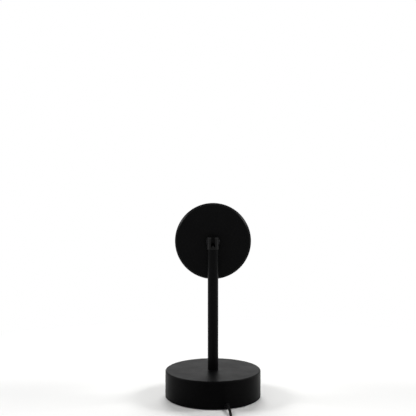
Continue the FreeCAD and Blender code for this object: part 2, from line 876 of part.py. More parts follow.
def heat_sink():
    """A plate on the bosses, with upright fins behind it on both sides."""
    sink = rod_y(head_inner - sink_plate_fit, sink_back, sink_front)
    reach = head_inner - sink_plate_fit - fin_inset
    for side in (-1, 1):
        for number in range(fin_count):
            middle = side * (fin_start + number * fin_pitch)
            room = 2 * math.sqrt(reach ** 2 - (abs(middle) + fin_thick) ** 2)
            half_span = min(fin_span, room) / 2
            fin = block(middle - fin_thick / 2, middle + fin_thick / 2, sink_back - fin_height,
                        sink_back + lap, pivot_height - half_span, pivot_height + half_span)
            for x, z in boss_spots():
                fin = fin.cut(rod_y(boss_radius + fin_boss_gap, housing_inside, sink_back, x, z))
            sink = sink.fuse(fin)
    low = sink_back - past
    high = sink_front + past
    for x, z in boss_spots():
        sink = sink.cut(rod_y(sink_screw_radius + shaft_hole_gap, low, high, x, z))
    sink = sink.cut(rod_y(wire_hole_radius, low, high, 0, pivot_height - wire_hole_drop))
    for x in (-led_screw_offset, led_screw_offset):
        sink = sink.cut(rod_y(small_screw_radius + thread_gap, low, high, x))
    return sink.removeSplitter()


def sink_screws():
    screws = []
    for x, z in boss_spots():
        head = rod_y(sink_head_radius, sink_front, sink_front + sink_head_thick, x, z)
        shank = rod_y(sink_screw_radius, sink_back - sink_screw_depth + hole_spare, sink_front + lap, x, z)
        screws.append(head.fuse(shank).removeSplitter())
    return screws


def led_board():
    board = rod_y(led_board_radius, sink_front, board_front)
    low = sink_front - past
    high = board_front + past
    board = board.cut(rod_y(wire_hole_radius, low, high, 0, pivot_height - wire_hole_drop))
    for x in (-led_screw_offset, led_screw_offset):
        board = board.cut(rod_y(small_screw_radius + shaft_hole_gap, low, high, x))
    return board


def led_screws():
    screws = []
    for x in (-led_screw_offset, led_screw_offset):
        head = rod_y(small_head_radius, board_front, board_front + small_head_thick, x)
        shank = rod_y(small_screw_radius, sink_back + led_screw_inset, board_front + lap, x)
        screws.append(head.fuse(shank).removeSplitter())
    return screws


def led_emitter():
    base_front = board_front + led_base_thick
    base = rod_y(led_base_radius, board_front, base_front)
    dome = Part.makeSphere(led_dome_radius, vector(0, base_front, pivot_height))
    dome = dome.common(rod_y(led_dome_radius + past, base_front - lap, base_front + led_dome_radius + past))
    return base.fuse(dome).removeSplitter()


def lens_barrel():
    """A tube that stands on the heat sink and carries the filter and the lens."""
    outer = lens_radius
    inner = outer - barrel_wall
    shelf = sink_front + shelf_start
    return turned((
        (sink_front, inner),
        (sink_front, outer),
        (barrel_front, outer),
        (barrel_front, inner),
        (shelf + shelf_thick, inner),
        (shelf + shelf_thick, inner - shelf_width),
        (shelf, inner - shelf_width),
        (shelf, inner),
    ))


def reflector():
    """A thin cone whose flange meets the back of the shelf."""
    rim = lens_radius - barrel_wall - filter_fit
    throat = rim - shelf_width - reflector_step
    small = sink_front + reflector_start
    shelf = sink_front + shelf_start
    flange = shelf - reflector_flange
    return turned((
        (small, reflector_mouth_radius),
        (small, reflector_mouth_radius + reflector_wall),
        (flange, throat + reflector_wall),
        (flange, rim),
        (shelf, rim),
        (shelf, throat),
    ))


def colour_filter():
    start = sink_front + shelf_start + shelf_thick
    return rod_y(lens_radius - barrel_wall - filter_fit, start, start + filter_thick)


def front_lens():
    """A flat-backed lens with a domed front and a flat rim."""
    edge = rod_y(lens_radius, barrel_front, lens_edge_front)
    rise = lens_curve_radius - math.sqrt(lens_curve_radius ** 2 - lens_dome_radius ** 2)
    centre = lens_edge_front + rise - lens_curve_radius
    ball = Part.makeSphere(lens_curve_radius, vector(0, centre, pivot_height))
    dome = ball.common(rod_y(lens_dome_radius, lens_edge_front - past, lens_edge_front + rise + past))
    return edge.fuse(dome).removeSplitter()


def lens_gasket():
    ring = rod_y(lens_radius - gasket_inset, lens_edge_front, gasket_front)
    return ring.cut(rod_y(lens_dome_radius + gasket_inset, lens_edge_front - past, gasket_front + past))


def front_bezel():
    """A ring that closes the housing and holds the lens, with a flared mouth."""
    spigot_outer = head_inner - sink_plate_fit
    seat = lens_radius + lens_fit
    skirt = housing_front + bezel_seam
    lip = gasket_front + bezel_lip
    bezel = turned((
        (housing_front - bezel_reach, seat),
        (housing_front - bezel_reach, spigot_outer),
        (skirt, spigot_outer),
        (skirt, head_outer),
        (bezel_front, head_outer),
        (bezel_front, bezel_mouth_radius),
        (lip, bezel_opening_radius),
        (gasket_front, bezel_opening_radius),
        (gasket_front, seat),
    ))
    outer_rim = [edge for edge in edges_at(bezel, "Y", bezel_front)
                 if abs(edge.BoundBox.XMax - head_outer) < 0.001]
    return bezel.makeFillet(bezel_edge_radius, outer_rim)


def head_wires():
    """Two wires from the bracket, down behind the heat sink and through it to the LED board."""
    height = pivot_height - head_wire_drop
    low = pivot_height - wire_hole_drop
    behind = sink_back - head_wire_inset
    front = board_front + wire_radius + thread_gap
    wires = []
    for side in (-wire_side, wire_side):
        points = (
            (side, neck_start, height),
            (side, behind, height),
            (side, behind, low),
            (side, front, low),
            (side, front, low + head_wire_end),
        )
        wires.append(wire_tube("head_wires", points, head_wire_bend))
    return wires


# Free cord


def coil_state(turn):
    """Radius and height of the coil's middle line after so many turns.

    Each layer spirals a spacing per turn, in and out again in turn, and the half turn between two
    layers climbs one spacing while the spiral reverses.
    """
    radius = coil_outer_radius
    height = coil_first_height
    sense = -1
    for layer in layer_turns:
        if turn <= layer:
            return radius + sense * coil_spacing * turn, height
        radius += sense * coil_spacing * layer
        turn -= layer
        if turn <= climb_turns:
            share = turn / climb_turns
            bulge = climb_turns * coil_spacing * share * (1 - share)
            return radius + sense * bulge, height + coil_spacing * share * share * (3 - 2 * share)
        turn -= climb_turns
        height += coil_spacing
        sense = -sense
    return radius, height


def coil_point(turn):
    radius, height = coil_state(turn)
    x, y = polar(radius, coil_start_angle + 360 * turn)
    return vector(coil_middle[0] + x, coil_middle[1] + y, height)


def coil_turns():
    return sum(layer_turns) + climb_turns * (len(layer_turns) - 1)


def coil_heading(turn):
    """The way along the coil, square to the radius at its two ends."""
    if turn == 0 or turn == coil_turns():
        angle = math.radians(coil_start_angle + 360 * turn)
        return vector(-math.sin(angle), math.cos(angle), 0)
    step = 0.0001
    return (coil_point(turn + step) - coil_point(turn - step)).normalize()


def coil_edges():
    """Biarcs of a quarter turn, with a straight end of one cord diameter at each end."""
    quarters = round(coil_turns() * 4)
    knots = [number / 4 for number in range(quarters + 1)]
    first = coil_point(0)
    last = coil_point(coil_turns())
    before = first - coil_heading(0) * cord_dia
    after = last + coil_heading(coil_turns()) * cord_dia
    edges = [Part.LineSegment(before, first).toShape()]
    for start, end in zip(knots, knots[1:]):
        edges += biarc(coil_point(start), coil_heading(start), coil_point(end), coil_heading(end))
    edges.append(Part.LineSegment(last, after).toShape())
    return edges


def least_gap(edges, thick):
    """The least clear distance between two stretches of one tube that aren't next to each other."""
    spine = Part.Wire(edges)
    points = spine.discretize(Distance=thick / 2)
    apart = 24
    least = coil_outer_radius
    for number, here in enumerate(points):
        for other in points[number + apart:]:
            if abs(other.x - here.x) < least and abs(other.y - here.y) < least:
                least = min(least, here.distanceToPoint(other))
    return least - thick


def cord_coil():
    edges = coil_edges()
    print(f"cord_coil: {coil_turns():.2f} turns, least gap to itself {least_gap(edges, cord_dia):.2f} mm")
    return tube_on(edges, cord_radius, "cord_coil")


def coil_start():
    """Where the lead meets the coil's first straight end."""
    start = coil_point(0) - coil_heading(0) * cord_dia
    return (start.x, start.y, start.z)


def coil_end(further):
    """A point past the coil's last straight end, by that much along its heading."""
    end = coil_point(coil_turns()) + coil_heading(coil_turns()) * (cord_dia + further)
    return (end.x, end.y, end.z)


def coil_tie():
    """A flat band round the bundle of turns."""
    inner_turn = coil_outer_radius - coil_spacing * max(layer_turns) - cord_radius
    near = math.sqrt(inner_turn ** 2 - (tie_width / 2) ** 2) - coil_spacing * bulge_share - tie_gap
    far = coil_outer_radius + coil_spacing * bulge_share + cord_radius + tie_gap
    low = coil_first_height - cord_radius - tie_under
    high = coil_first_height + coil_spacing * (len(layer_turns) - 1) + cord_radius + tie_gap
    outer = block(near - tie_thick, far + tie_thick, -tie_width / 2, tie_width / 2,
                  low - tie_thick, high + tie_thick)
    across = [edge for edge in outer.Edges if edge.BoundBox.YLength > tie_width * 0.99]
    outer = outer.makeFillet(tie_edge, across)
    band = outer.cut(block(near, far, -tie_width, tie_width, low, high))
    band.rotate(vector(0, 0, 0), vector(0, 0, 1), tie_angle)
    band.translate(vector(coil_middle[0], coil_middle[1], 0))
    return band


def cord_lead():
    start = exit_point(exit_radius, exit_height)
    second = exit_point(exit_radius + lead_first_run, exit_height)
    return cord_tube("cord_lead", (start, second) + lead_points + (coil_start(),))


def cord_mid():
    end = (switch_right, switch_middle_y, switch_cord_height)
    return cord_tube("cord_mid", (coil_end(0), coil_end(mid_first_run)) + mid_points + (end,))


def cord_tail():
    start = (switch_right - switch_length, switch_middle_y, switch_cord_height)
    end = (plug_left, plug_middle_y, plug_body_height / 2)
    return cord_tube("cord_tail", (start,) + tail_points + (end,))


# Switch on the cord, drawn about its own middle


def in_switch(shape):
    moved = shape.copy()
    moved.translate(vector(switch_right - switch_length / 2, switch_middle_y, 0))
    return moved


def switch_half(low, high, inner_low, inner_high, rounded_edge):
    """One half of the case: a block with rounded corners, hollowed from its open side."""
    half_length = switch_length / 2
    half_width = switch_width / 2
    case = rounded_box(-half_length, half_length, -half_width, half_width, low, high, switch_corner)
    case = case.makeFillet(switch_edge, edges_at(case, "Z", rounded_edge))
    hollow = rounded_box(-half_length + switch_wall, half_length - switch_wall, -half_width + switch_wall,
                         half_width - switch_wall, inner_low, inner_high, switch_corner - switch_wall)
    return case.cut(hollow)


def switch_boss_spots():
    return [(-switch_boss_x, switch_boss_y), (switch_boss_x, -switch_boss_y)]


def switch_base():
    half_length = switch_length / 2
    case = switch_half(0, switch_split, switch_wall, switch_split + past, 0)
    for x, y in switch_boss_spots():
        case = case.fuse(rod_z(switch_boss_radius, switch_wall - lap, switch_split, x, y))
        head_seat = switch_head_depth + switch_head_thick
        case = case.cut(rod_z(switch_screw_head + sink_gap, -past, head_seat, x, y))
        case = case.cut(rod_z(switch_screw_radius + shaft_hole_gap, 0, switch_split + past, x, y))
    bore = rod_x(cord_radius + cord_gap, -half_length - past, half_length + past, 0, switch_cord_height)
    return in_switch(case.cut(bore).removeSplitter())


def switch_cover():
    low = switch_split + switch_seam
    case = switch_half(low, switch_height, low - past, switch_roof, switch_height)
    for x, y in switch_boss_spots():
        case = case.fuse(rod_z(switch_boss_radius, low, switch_roof + lap, x, y))
        hole_top = switch_head_depth + switch_head_thick + switch_screw_length + hole_spare
        case = case.cut(rod_z(switch_screw_radius + thread_gap, low - past, hole_top, x, y))
    case = case.cut(button_block(button_gap, switch_roof - past, switch_height + past))
    return in_switch(case.removeSplitter())


def button_block(grow, low, high):
    """The button's outline, grown all round, as an upright block."""
    half_length = button_length / 2 + grow
    half_width = button_width / 2 + grow
    corner = half_width - button_end_flat / 2
    return rounded_box(-half_length, half_length, -half_width, half_width, low, high, corner)


def switch_button():
    """A domed oval cap, a flange that keeps it in, and a stem down into the switch module."""
    top = switch_height + button_proud
    cap = button_block(0, flange_low, top)
    cap = cap.makeFillet(button_edge, edges_at(cap, "Z", top))
    flange = button_block(button_flange, flange_low, flange_top)
    stem = rod_z(button_stem_radius, flange_low - button_stem_length, flange_low + lap)
    return in_switch(cap.fuse([flange, stem]).removeSplitter())


def switch_module():
    """The push-switch block, with a well for the stem and its spring."""
    half = module_size / 2
    body = block(-half, half, -half, half, switch_wall, module_top)
    return in_switch(body.cut(rod_z(well_radius, switch_wall + module_floor, module_top + past)))


def button_spring():
    """A compression spring between the well's floor and the button's stem."""
    low = switch_wall + module_floor + spring_wire / 2 + spring_gap
    high = flange_low - button_stem_length - spring_wire / 2 - spring_gap
    rise = (high - low) / (spring_turns * 4)
    edges = []
    for quarter in range(spring_turns * 4):
        start, start_way = spring_knot(quarter, low, rise)
        end, end_way = spring_knot(quarter + 1, low, rise)
        edges += biarc(start, start_way, end, end_way)
    return in_switch(tube_on(edges, spring_wire / 2, "button_spring"))


def spring_knot(quarter, low, rise):
    """A point of the spring after so many quarter turns, and the way along it."""
    angle = quarter * math.pi / 2
    point = vector(spring_radius * math.cos(angle), spring_radius * math.sin(angle), low + quarter * rise)
    climb = rise / (math.pi / 2)
    way = vector(-spring_radius * math.sin(angle), spring_radius * math.cos(angle), climb)
    return point, way.normalize()


def switch_screws():
    screws = []
    for x, y in switch_boss_spots():
        seat = switch_head_depth + switch_head_thick
        head = rod_z(switch_screw_head, switch_head_depth, seat, x, y)
        shank = rod_z(switch_screw_radius, seat - lap, seat + switch_screw_length, x, y)
        screws.append(in_switch(head.fuse(shank).removeSplitter()))
    return screws


def switch_leads():
    """The cord's two ends inside the case, and their wires to the switch module."""
    half_length = switch_length / 2
    half_module = module_size / 2
    leads = []
    for side in (-1, 1):
        outer = side * half_length
        inner = side * (half_length - switch_stub)
        leads.append(rod_x(cord_radius, min(outer, inner), max(outer, inner), 0, switch_cord_height))
        module = side * half_module
        for y in (-wire_side, wire_side):
            leads.append(rod_x(core_radius, min(inner, module), max(inner, module), y,
                               switch_cord_height))
    return [in_switch(lead) for lead in leads]


# USB plug


def plug_box(length, width, height, start, edge):
    """A block along +X about the plug's axis, with its four long edges rounded."""
    middle_z = plug_body_height / 2
    box = block(start, start + length, plug_middle_y - width / 2, plug_middle_y + width / 2,
                middle_z - height / 2, middle_z + height / 2)
    along = [each for each in box.Edges if each.BoundBox.XLength > length * 0.99]
    return box.makeFillet(edge, along)


def plug_face():
    return plug_left + plug_nose_length + plug_body_length


def plug_body():
    """The moulded grip, with a tapered nose towards the cord."""
    start = plug_left + plug_nose_length
    body = plug_box(plug_body_length, plug_body_width, plug_body_height, start, plug_body_edge)
    body = body.makeFillet(plug_back_edge, edges_at(body, "X", start))
    nose = Part.makeCone(plug_nose_tip, plug_nose_radius, plug_nose_length + lap,
                         vector(plug_left, plug_middle_y, plug_body_height / 2), vector(1, 0, 0))
    body = body.fuse(nose)
    pocket = plug_box(shell_in_body + past, shell_width + 2 * thread_gap, shell_height + 2 * thread_gap,
                      plug_face() - shell_in_body, shell_edge)
    return body.cut(pocket).removeSplitter()


def plug_shell():
    """A rectangular sleeve of thin sheet, with two latch windows in each broad side."""
    length = shell_in_body + shell_reach
    start = plug_face() - shell_in_body
    outer = plug_box(length, shell_width, shell_height, start, shell_edge)
    inner = plug_box(length + 2 * past, shell_width - 2 * shell_sheet, shell_height - 2 * shell_sheet,
                     start - past, shell_edge - shell_sheet)
    shell = outer.cut(inner)
    middle = plug_face() + window_middle
    low = plug_body_height / 2 - shell_height
    high = plug_body_height / 2 + shell_height
    for offset in (-window_offset, window_offset):
        y = plug_middle_y + offset
        shell = shell.cut(block(middle - window_length / 2, middle + window_length / 2,
                                y - window_width / 2, y + window_width / 2, low, high))
    return shell


def insert_low():
    """Height of the insert's underside, which carries the contacts."""
    roof = plug_body_height / 2 + shell_height / 2 - shell_sheet
    return roof - insert_thick


def plug_insert():
    half = shell_width / 2 - shell_sheet - insert_side_gap
    start = plug_face() - shell_in_body
    end = plug_face() + shell_reach - insert_recess
    low = insert_low()
    return block(start, end, plug_middle_y - half, plug_middle_y + half, low, low + insert_thick)


def plug_contacts():
    end = plug_face() + shell_reach - insert_recess - contact_inset
    low = insert_low()
    strips = []
    for place in contact_places:
        y = plug_middle_y + place
        strips.append(block(end - contact_length, end, y - contact_width / 2, y + contact_width / 2,
                            low - contact_thick, low))
    return strips


def main():
    os.makedirs("parts", exist_ok=True)
    save("base_shell", base_shell())
    save("base_weight", base_weight())
    save("base_cover", base_cover())
    save("cover_screws", *cover_screws())
    save("foot_pad", foot_pad())
    save("cord_grommet", grommet())
    save("cord_clamp", cord_clamp())
    save("clamp_screws", *clamp_screws())
    save("inner_cord", inner_cord())
    save("driver_board", driver_board())
    save("driver_parts", *driver_parts())
    save("board_screws", *board_screws())
    save("supply_wires", *supply_wires())
    save("stem_nipple", stem_nipple())
    save("stem_washer", stem_washer())
    save("stem_nut", stem_nut())
    save("stem_tube", stem_tube())
    save("stem_wires", *stem_wires())
    save("yoke", yoke())
    save("pivot_screw", pivot_screw())
    save("pivot_nut", pivot_nut())
    save("friction_washers", *friction_washers())
    save("pivot_wires", *pivot_wires())
    save("head_bracket", head_bracket())
    save("bracket_washer", bracket_washer())
    save("bracket_nut", bracket_nut())
    save("head_housing", head_housing())
    save("heat_sink", heat_sink())
    save("sink_screws", *sink_screws())
    save("led_board", led_board())
    save("led_screws", *led_screws())
    save("led_emitter", led_emitter())
    save("lens_barrel", lens_barrel())
    save("reflector", reflector())
    save("colour_filter", colour_filter())
    save("front_lens", front_lens())
    save("lens_gasket", lens_gasket())
    save("front_bezel", front_bezel())
    save("head_wires", *head_wires())
    save("cord_lead", cord_lead())
    save("cord_coil", cord_coil())
    save("coil_tie", coil_tie())
    save("cord_mid", cord_mid())
    save("switch_base", switch_base())
    save("switch_cover", switch_cover())
    save("switch_button", switch_button())
    save("switch_module", switch_module())
    save("button_spring", button_spring())
    save("switch_screws", *switch_screws())
    save("switch_leads", *switch_leads())
    save("cord_tail", cord_tail())
    save("plug_body", plug_body())
    save("plug_shell", plug_shell())
    save("plug_insert", plug_insert())
    save("plug_contacts", *plug_contacts())


main()
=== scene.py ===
import bmesh
import bpy
import math
from mathutils import Matrix, Vector


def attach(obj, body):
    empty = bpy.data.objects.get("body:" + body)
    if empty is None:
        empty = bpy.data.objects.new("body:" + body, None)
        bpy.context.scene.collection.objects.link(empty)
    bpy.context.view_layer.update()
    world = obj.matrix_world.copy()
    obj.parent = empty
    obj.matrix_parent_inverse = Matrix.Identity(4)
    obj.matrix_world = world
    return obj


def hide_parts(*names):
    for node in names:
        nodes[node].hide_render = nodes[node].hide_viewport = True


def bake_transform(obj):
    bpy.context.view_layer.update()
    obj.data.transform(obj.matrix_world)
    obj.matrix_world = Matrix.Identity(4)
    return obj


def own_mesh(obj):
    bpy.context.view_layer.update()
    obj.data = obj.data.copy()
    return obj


# Sunset projection lamp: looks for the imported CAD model. Lengths in the dictionaries are in
# millimetres, but in metres for the camera's place, the materials, the floor and the lights.

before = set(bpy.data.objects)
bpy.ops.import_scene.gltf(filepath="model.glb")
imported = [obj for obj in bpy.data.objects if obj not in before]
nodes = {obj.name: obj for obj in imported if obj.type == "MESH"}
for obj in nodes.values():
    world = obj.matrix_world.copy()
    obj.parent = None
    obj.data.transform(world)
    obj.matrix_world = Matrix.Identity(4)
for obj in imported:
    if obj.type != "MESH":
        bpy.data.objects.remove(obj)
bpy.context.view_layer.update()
mm = 0.001
tiltAxisHeight = 145.5
tieAngle = math.radians(-50)  # the line from the coil's middle on which its tie lies


def metres(point):
    return Vector(point) * mm


def rotated(x, y, angle):
    # about the origin, by radians
    return x * math.cos(angle) - y * math.sin(angle), x * math.sin(angle) + y * math.cos(angle)


def onCircle(radius, angles, height=0.0):
    return [(*rotated(radius, 0, math.radians(angle)), height) for angle in angles]


def rimOf(radius, sides):
    return onCircle(radius, [360 * number / sides for number in range(sides)])


def addObject(name, data):
    made = bpy.data.objects.new(name, data)
    bpy.context.scene.collection.objects.link(made)
    return made


# Camera

cameraValues = {
    "place": (0.0, -0.600, 0.175),
    "lens": 54.8,  # for the sensor's width, both in millimetres
    "sensor": 36.0,
    "shift": (-0.012, 0.0063),
}


def makeCamera(values):
    data = bpy.data.cameras.new("camera")
    data.lens = values["lens"]
    data.sensor_width = values["sensor"]
    data.shift_x, data.shift_y = values["shift"]
    camera = addObject("camera", data)
    camera.location = values["place"]
    camera.rotation_euler = (math.radians(90), 0, 0)  # level, looking along +Y
    bpy.context.scene.camera = camera


makeCamera(cameraValues)
print("camera: done")


# Nodes of any tree


def feed(tree, node, links):
    # links are (input socket, output or plain value)
    for socket, source in links:
        target = node.inputs[socket]
        if isinstance(source, bpy.types.NodeSocket):
            tree.links.new(source, target)
        else:
            target.default_value = source


def addNode(tree, kind, links=(), **settings):
    node = tree.nodes.new(kind)
    for name, value in settings.items():
        setattr(node, name, value)
    feed(tree, node, links)
    return node


def newOutput(tree, kind, links=(), **settings):
    # adds a node and gives its first output
    return addNode(tree, kind, links, **settings).outputs[0]


def addMaths(tree, operation, first, second=0.0):
    return newOutput(tree, "ShaderNodeMath", [(0, first), (1, second)], operation=operation)


def product(tree, first, second):
    return addMaths(tree, "MULTIPLY", first, second)


# Materials: what several finishes share

noiseSpan = (0.3, 0.7)  # most values of a noise lie in it


plainInputs = {"roughness": "Roughness", "metallic": "Metallic", "specular": "Specular IOR Level"}


def startFinish(name, values, more=()):
    # sets the inputs with one value; more are (input, value), and polish sets a range of roughness
    material = bpy.data.materials.new(name)
    material.use_nodes = True
    tree = material.node_tree
    shader = tree.nodes["Principled BSDF"]
    feed(tree, shader, [("Base Color", (*values["colour"], 1)), *more])
    for key, socket in plainInputs.items():
        if isinstance(values.get(key), float):
            shader.inputs[socket].default_value = values[key]
    return material, tree, shader


def placeOn(tree, centre=(0, 0, 0), turn=(0, 0, 0), stretch=(1, 1, 1)):
    # Object coordinates, centred on a point, turned, and divided by stretch
    coords = addNode(tree, "ShaderNodeTexCoord").outputs["Object"]
    return newOutput(tree, "ShaderNodeMapping", [
        ("Vector", coords), ("Location", centre), ("Rotation", turn), ("Scale", stretch),
    ], vector_type="TEXTURE")


def distanceOf(tree, place):
    return addNode(tree, "ShaderNodeVectorMath", [(0, place)], operation="LENGTH").outputs["Value"]


def addNoise(tree, place, size, detail=3.0, rough=0.5):
    # size is that of the pattern's features
    return newOutput(tree, "ShaderNodeTexNoise", [
        ("Vector", place), ("Scale", 1 / size), ("Detail", detail), ("Roughness", rough),
    ])


def addCells(tree, place, size):
    return newOutput(tree, "ShaderNodeTexVoronoi", [("Vector", place), ("Scale", 1 / size)])


def addRange(tree, value, low, high, span=noiseSpan):
    return newOutput(tree, "ShaderNodeMapRange", [
        ("Value", value), ("From Min", span[0]), ("From Max", span[1]), ("To Min", low), ("To Max", high),
    ])


def paint(tree, shader, value, stops):
    # the pattern's value picks the colour; stops are (value, colour)
    ramp = addNode(tree, "ShaderNodeValToRGB", [("Fac", value)])
    steps = ramp.color_ramp.elements
    steps.remove(steps[1])
    for number, (position, colour) in enumerate(stops):
        step = steps.new(position) if number else steps[0]
        step.position = position
        step.color = (*colour, 1)
    tree.links.new(ramp.outputs["Color"], shader.inputs["Base Color"])


def shade(colour, share):
    return tuple(min(1.0, part * share) for part in colour)


def speckle(tree, shader, place, colour, size, spread):
    # uneven colour in soft patches of that size
    shades = (shade(colour, 1 - spread), shade(colour, 1 + spread))
    paint(tree, shader, addNoise(tree, place, size), zip(noiseSpan, shades))


def polish(tree, shader, value, roughness, span=noiseSpan):
    tree.links.new(addRange(tree, value, *roughness, span), shader.inputs["Roughness"])


def addBump(tree, shader, layers):
    # layers are (height output, depth), laid one on another
    below = None
    for height, depth in layers:
        bump = addNode(tree, "ShaderNodeBump", [("Height", height), ("Distance", depth)])
        if below:
            tree.links.new(below, bump.inputs["Normal"])
        below = bump.outputs["Normal"]
    tree.links.new(below, shader.inputs["Normal"])


# Plain finishes: a patchy colour, an uneven gloss and a fine relief

powderCoat = {  # satin black, on the stem and the head
    "colour": (0.0022, 0.0022, 0.0024),
    "specular": 0.045,
    "patches": (0.02, 0.18),  # size, and how far the colour strays
    "wear": (0.018, 4.0, 0.6),  # size, detail and roughness of the gloss's pattern
    "turn": (0.3, 0.5, 0.2),  # way that this pattern lies, and how it is drawn out
    "stretch": (1, 1, 2.5),
    "roughness": (0.31, 0.41),
    # pattern, depth, size and detail of each layer, here the orange peel and the grain
    "relief": [("noise", 0.0000028, 0.0011, 1.0), ("noise", 0.0000011, 0.00022, 2.0)],
}

wireSkin = {  # thin glossy insulation of the inner wires
    "colour": (0.010, 0.010, 0.011),
    "patches": (0.004, 0.10),
    "wear": (0.002, 3.0),
    "roughness": (0.28, 0.42),
    "relief": [("noise", 0.000006, 0.0006, 2.0)],
}

plainFinishes = {
    "powderCoat": powderCoat,
    "forkPaint": dict(powderCoat, roughness=(0.24, 0.34), specular=0.13),  # glossier, on the fork
    "basePaint": dict(powderCoat, roughness=(0.34, 0.44), specular=0.029),  # duller, on the base
    "wireBlack": wireSkin,
    "wireGrey": dict(wireSkin, colour=(0.035, 0.035, 0.037)),
    "blackMoulding": {  # textured, on the bezel, barrel, switch and plug
        "colour": (0.0055, 0.0055, 0.0059),
        "specular": 0.10,
        "patches": (0.006, 0.15),
        "wear": (0.004, 3.0),
        "roughness": (0.44, 0.58),
        "relief": [("cells", 0.000012, 0.00035), ("noise", 0.000004, 0.000175)],
    },
    "cordSkin": {  # soft black PVC of the cord, and the rubber bush and gasket
        "colour": (0.0048, 0.0048, 0.0051),
        "specular": 0.13,
        "patches": (0.01, 0.22),
        "wear": (0.006, 4.0),
        "roughness": (0.38, 0.52),
        "relief": [("noise", 0.000008, 0.0009, 2.0), ("noise", 0.000003, 0.00018)],
    },
    "mirrorCoat": {  # metallised inside of the reflector
        "colour": (0.86, 0.86, 0.87),
        "metallic": 1.0,
        "patches": (0.012, 0.04),
        "wear": (0.008, 4.0),
        "roughness": (0.05, 0.13),
        "relief": [("noise", 0.00002, 0.004, 1.0)],
    },
    "componentBody": {  # dark moulded bodies of the components
        "colour": (0.030, 0.030, 0.032),
        "patches": (0.002, 0.2),
        "wear": (0.0012, 4.0),
        "roughness": (0.40, 0.58),
        "relief": [("cells", 0.000008, 0.00022)],
    },
}

# Bare metals: their colour, roughness, and the stretch and depth of their marks
metalLooks = {
    "zincPlate": ((0.60, 0.61, 0.60), (0.26, 0.42), (1, 1, 1), 0.000004),
    "blackOxide": ((0.012, 0.012, 0.013), (0.32, 0.46), (1, 1, 1), 0.000003),
    "nickelSheet": ((0.70, 0.69, 0.66), (0.16, 0.28), (14, 1, 1), 0.000002),
    "sinkAluminium": ((0.74, 0.75, 0.76), (0.30, 0.46), (1, 1, 18), 0.000006),
    "contactGold": ((0.86, 0.66, 0.30), (0.18, 0.30), (10, 1, 1), 0.000002),
    "springWire": ((0.62, 0.62, 0.60), (0.22, 0.34), (1, 1, 3), 0.000002),
    "solderTin": ((0.66, 0.66, 0.67), (0.14, 0.30), (1, 1, 1), 0.000005),
}
for metal, (colour, roughness, stretch, depth) in metalLooks.items():
    plainFinishes[metal] = {
        "colour": colour,
        "metallic": 1.0,
        "patches": (0.003, 0.10),
        "wear": (0.0009, 5.0, 0.62),
        "stretch": stretch,
        "roughness": roughness,
        "relief": [("wear", depth)],
    }


def makeFinish(name, values):
    material, tree, shader = startFinish(name, values)
    place = placeOn(tree)
    speckle(tree, shader, place, values["colour"], *values["patches"])
    drawn = placeOn(tree, turn=values.get("turn", (0, 0, 0)), stretch=values.get("stretch", (1, 1, 1)))
    wear = addNoise(tree, drawn, *values["wear"])
    polish(tree, shader, wear, values["roughness"])
    layers = []
    for pattern, depth, *shape in values["relief"]:
        if pattern == "wear":
            layers.append((wear, depth))
        elif pattern == "cells":
            layers.append((addCells(tree, place, *shape), depth))
        else:
            layers.append((addNoise(tree, place, *shape), depth))
    addBump(tree, shader, layers)
    return material


# Closed-cell foam rubber of the foot pad

foamRubber = {
    "colour": (0.022, 0.022, 0.023),
    "shades": (0.45, 1.4),  # of the colour, in a cell's middle and at its wall: painted shade in the sunken pits, lighter on the raised walls
    "cellSpan": (0.05, 0.5),  # values of the cells' pattern there
    "roughness": 0.86,
    "specular": 0.2,
    "cells": 0.00045,
    "cellDepth": 0.00006,
    "waves": 0.003,
    "waveDepth": 0.00008,
}


def makeFoam(name, values):
    material, tree, shader = startFinish(name, values)
    place = placeOn(tree)
    cells, waves = addCells(tree, place, values["cells"]), addNoise(tree, place, values["waves"])
    shades = [shade(values["colour"], share) for share in values["shades"]]
    # the cells' sunken middles are painted darker as shade, and their raised walls lighter
    paint(tree, shader, cells, zip(values["cellSpan"], shades))
    addBump(tree, shader, [(cells, values["cellDepth"]), (waves, values["waveDepth"])])
    return material


# Cast iron of the weight, stained with rust

ironCasting = {
    "colour": (0.20, 0.19, 0.18),
    "rust": (0.16, 0.07, 0.03),
    "metallic": 0.7,
    "roughness": (0.62, 0.85),
    "darker": 0.7,
    "stains": (0.009, 6.0, 0.65),  # size, detail and roughness of the pattern
    "stainSpan": (0.35, 0.58, 0.72),  # its values for darker iron, iron and rust
    "sand": (0.0012, 5.0, 0.6),
    "sandDepth": 0.00012,
    "pits": 0.0004,
    "pitDepth": 0.00003,
}


def makeCasting(name, values):
    material, tree, shader = startFinish(name, values)
    place = placeOn(tree)
    stains = addNoise(tree, place, *values["stains"])
    colours = (shade(values["colour"], values["darker"]), values["colour"], values["rust"])
    paint(tree, shader, stains, zip(values["stainSpan"], colours))
    polish(tree, shader, stains, values["roughness"])
    sand, pits = addNoise(tree, place, *values["sand"]), addCells(tree, place, values["pits"])
    addBump(tree, shader, [(sand, values["sandDepth"]), (pits, values["pitDepth"])])
    return material


# White lacquered LED board, and green driver board with its tracks

boardLooks = {
    "boardWhite": {
        "colour": (0.83, 0.83, 0.80),
        "track": (0.76, 0.765, 0.74),
        "pitch": 0.0042,
        "turn": (math.radians(90), 0, 0),
    },
    "boardGreen": {
        "colour": (0.018, 0.13, 0.045),
        "track": (0.035, 0.22, 0.075),
        "pitch": 0.0016,
        "turn": (0, 0, 0),
    },
}
boardShape = {
    "trackWidth": 0.09,
    "trackEdge": 0.3,  # how soft
    "between": 2.6,  # from one crossing track to the next, in pitches
    "trackDepth": 0.000015,
    "lighter": 1.08,
    "film": 0.003,
    "filmDepth": 0.00001,
    "roughness": (0.24, 0.40),
}


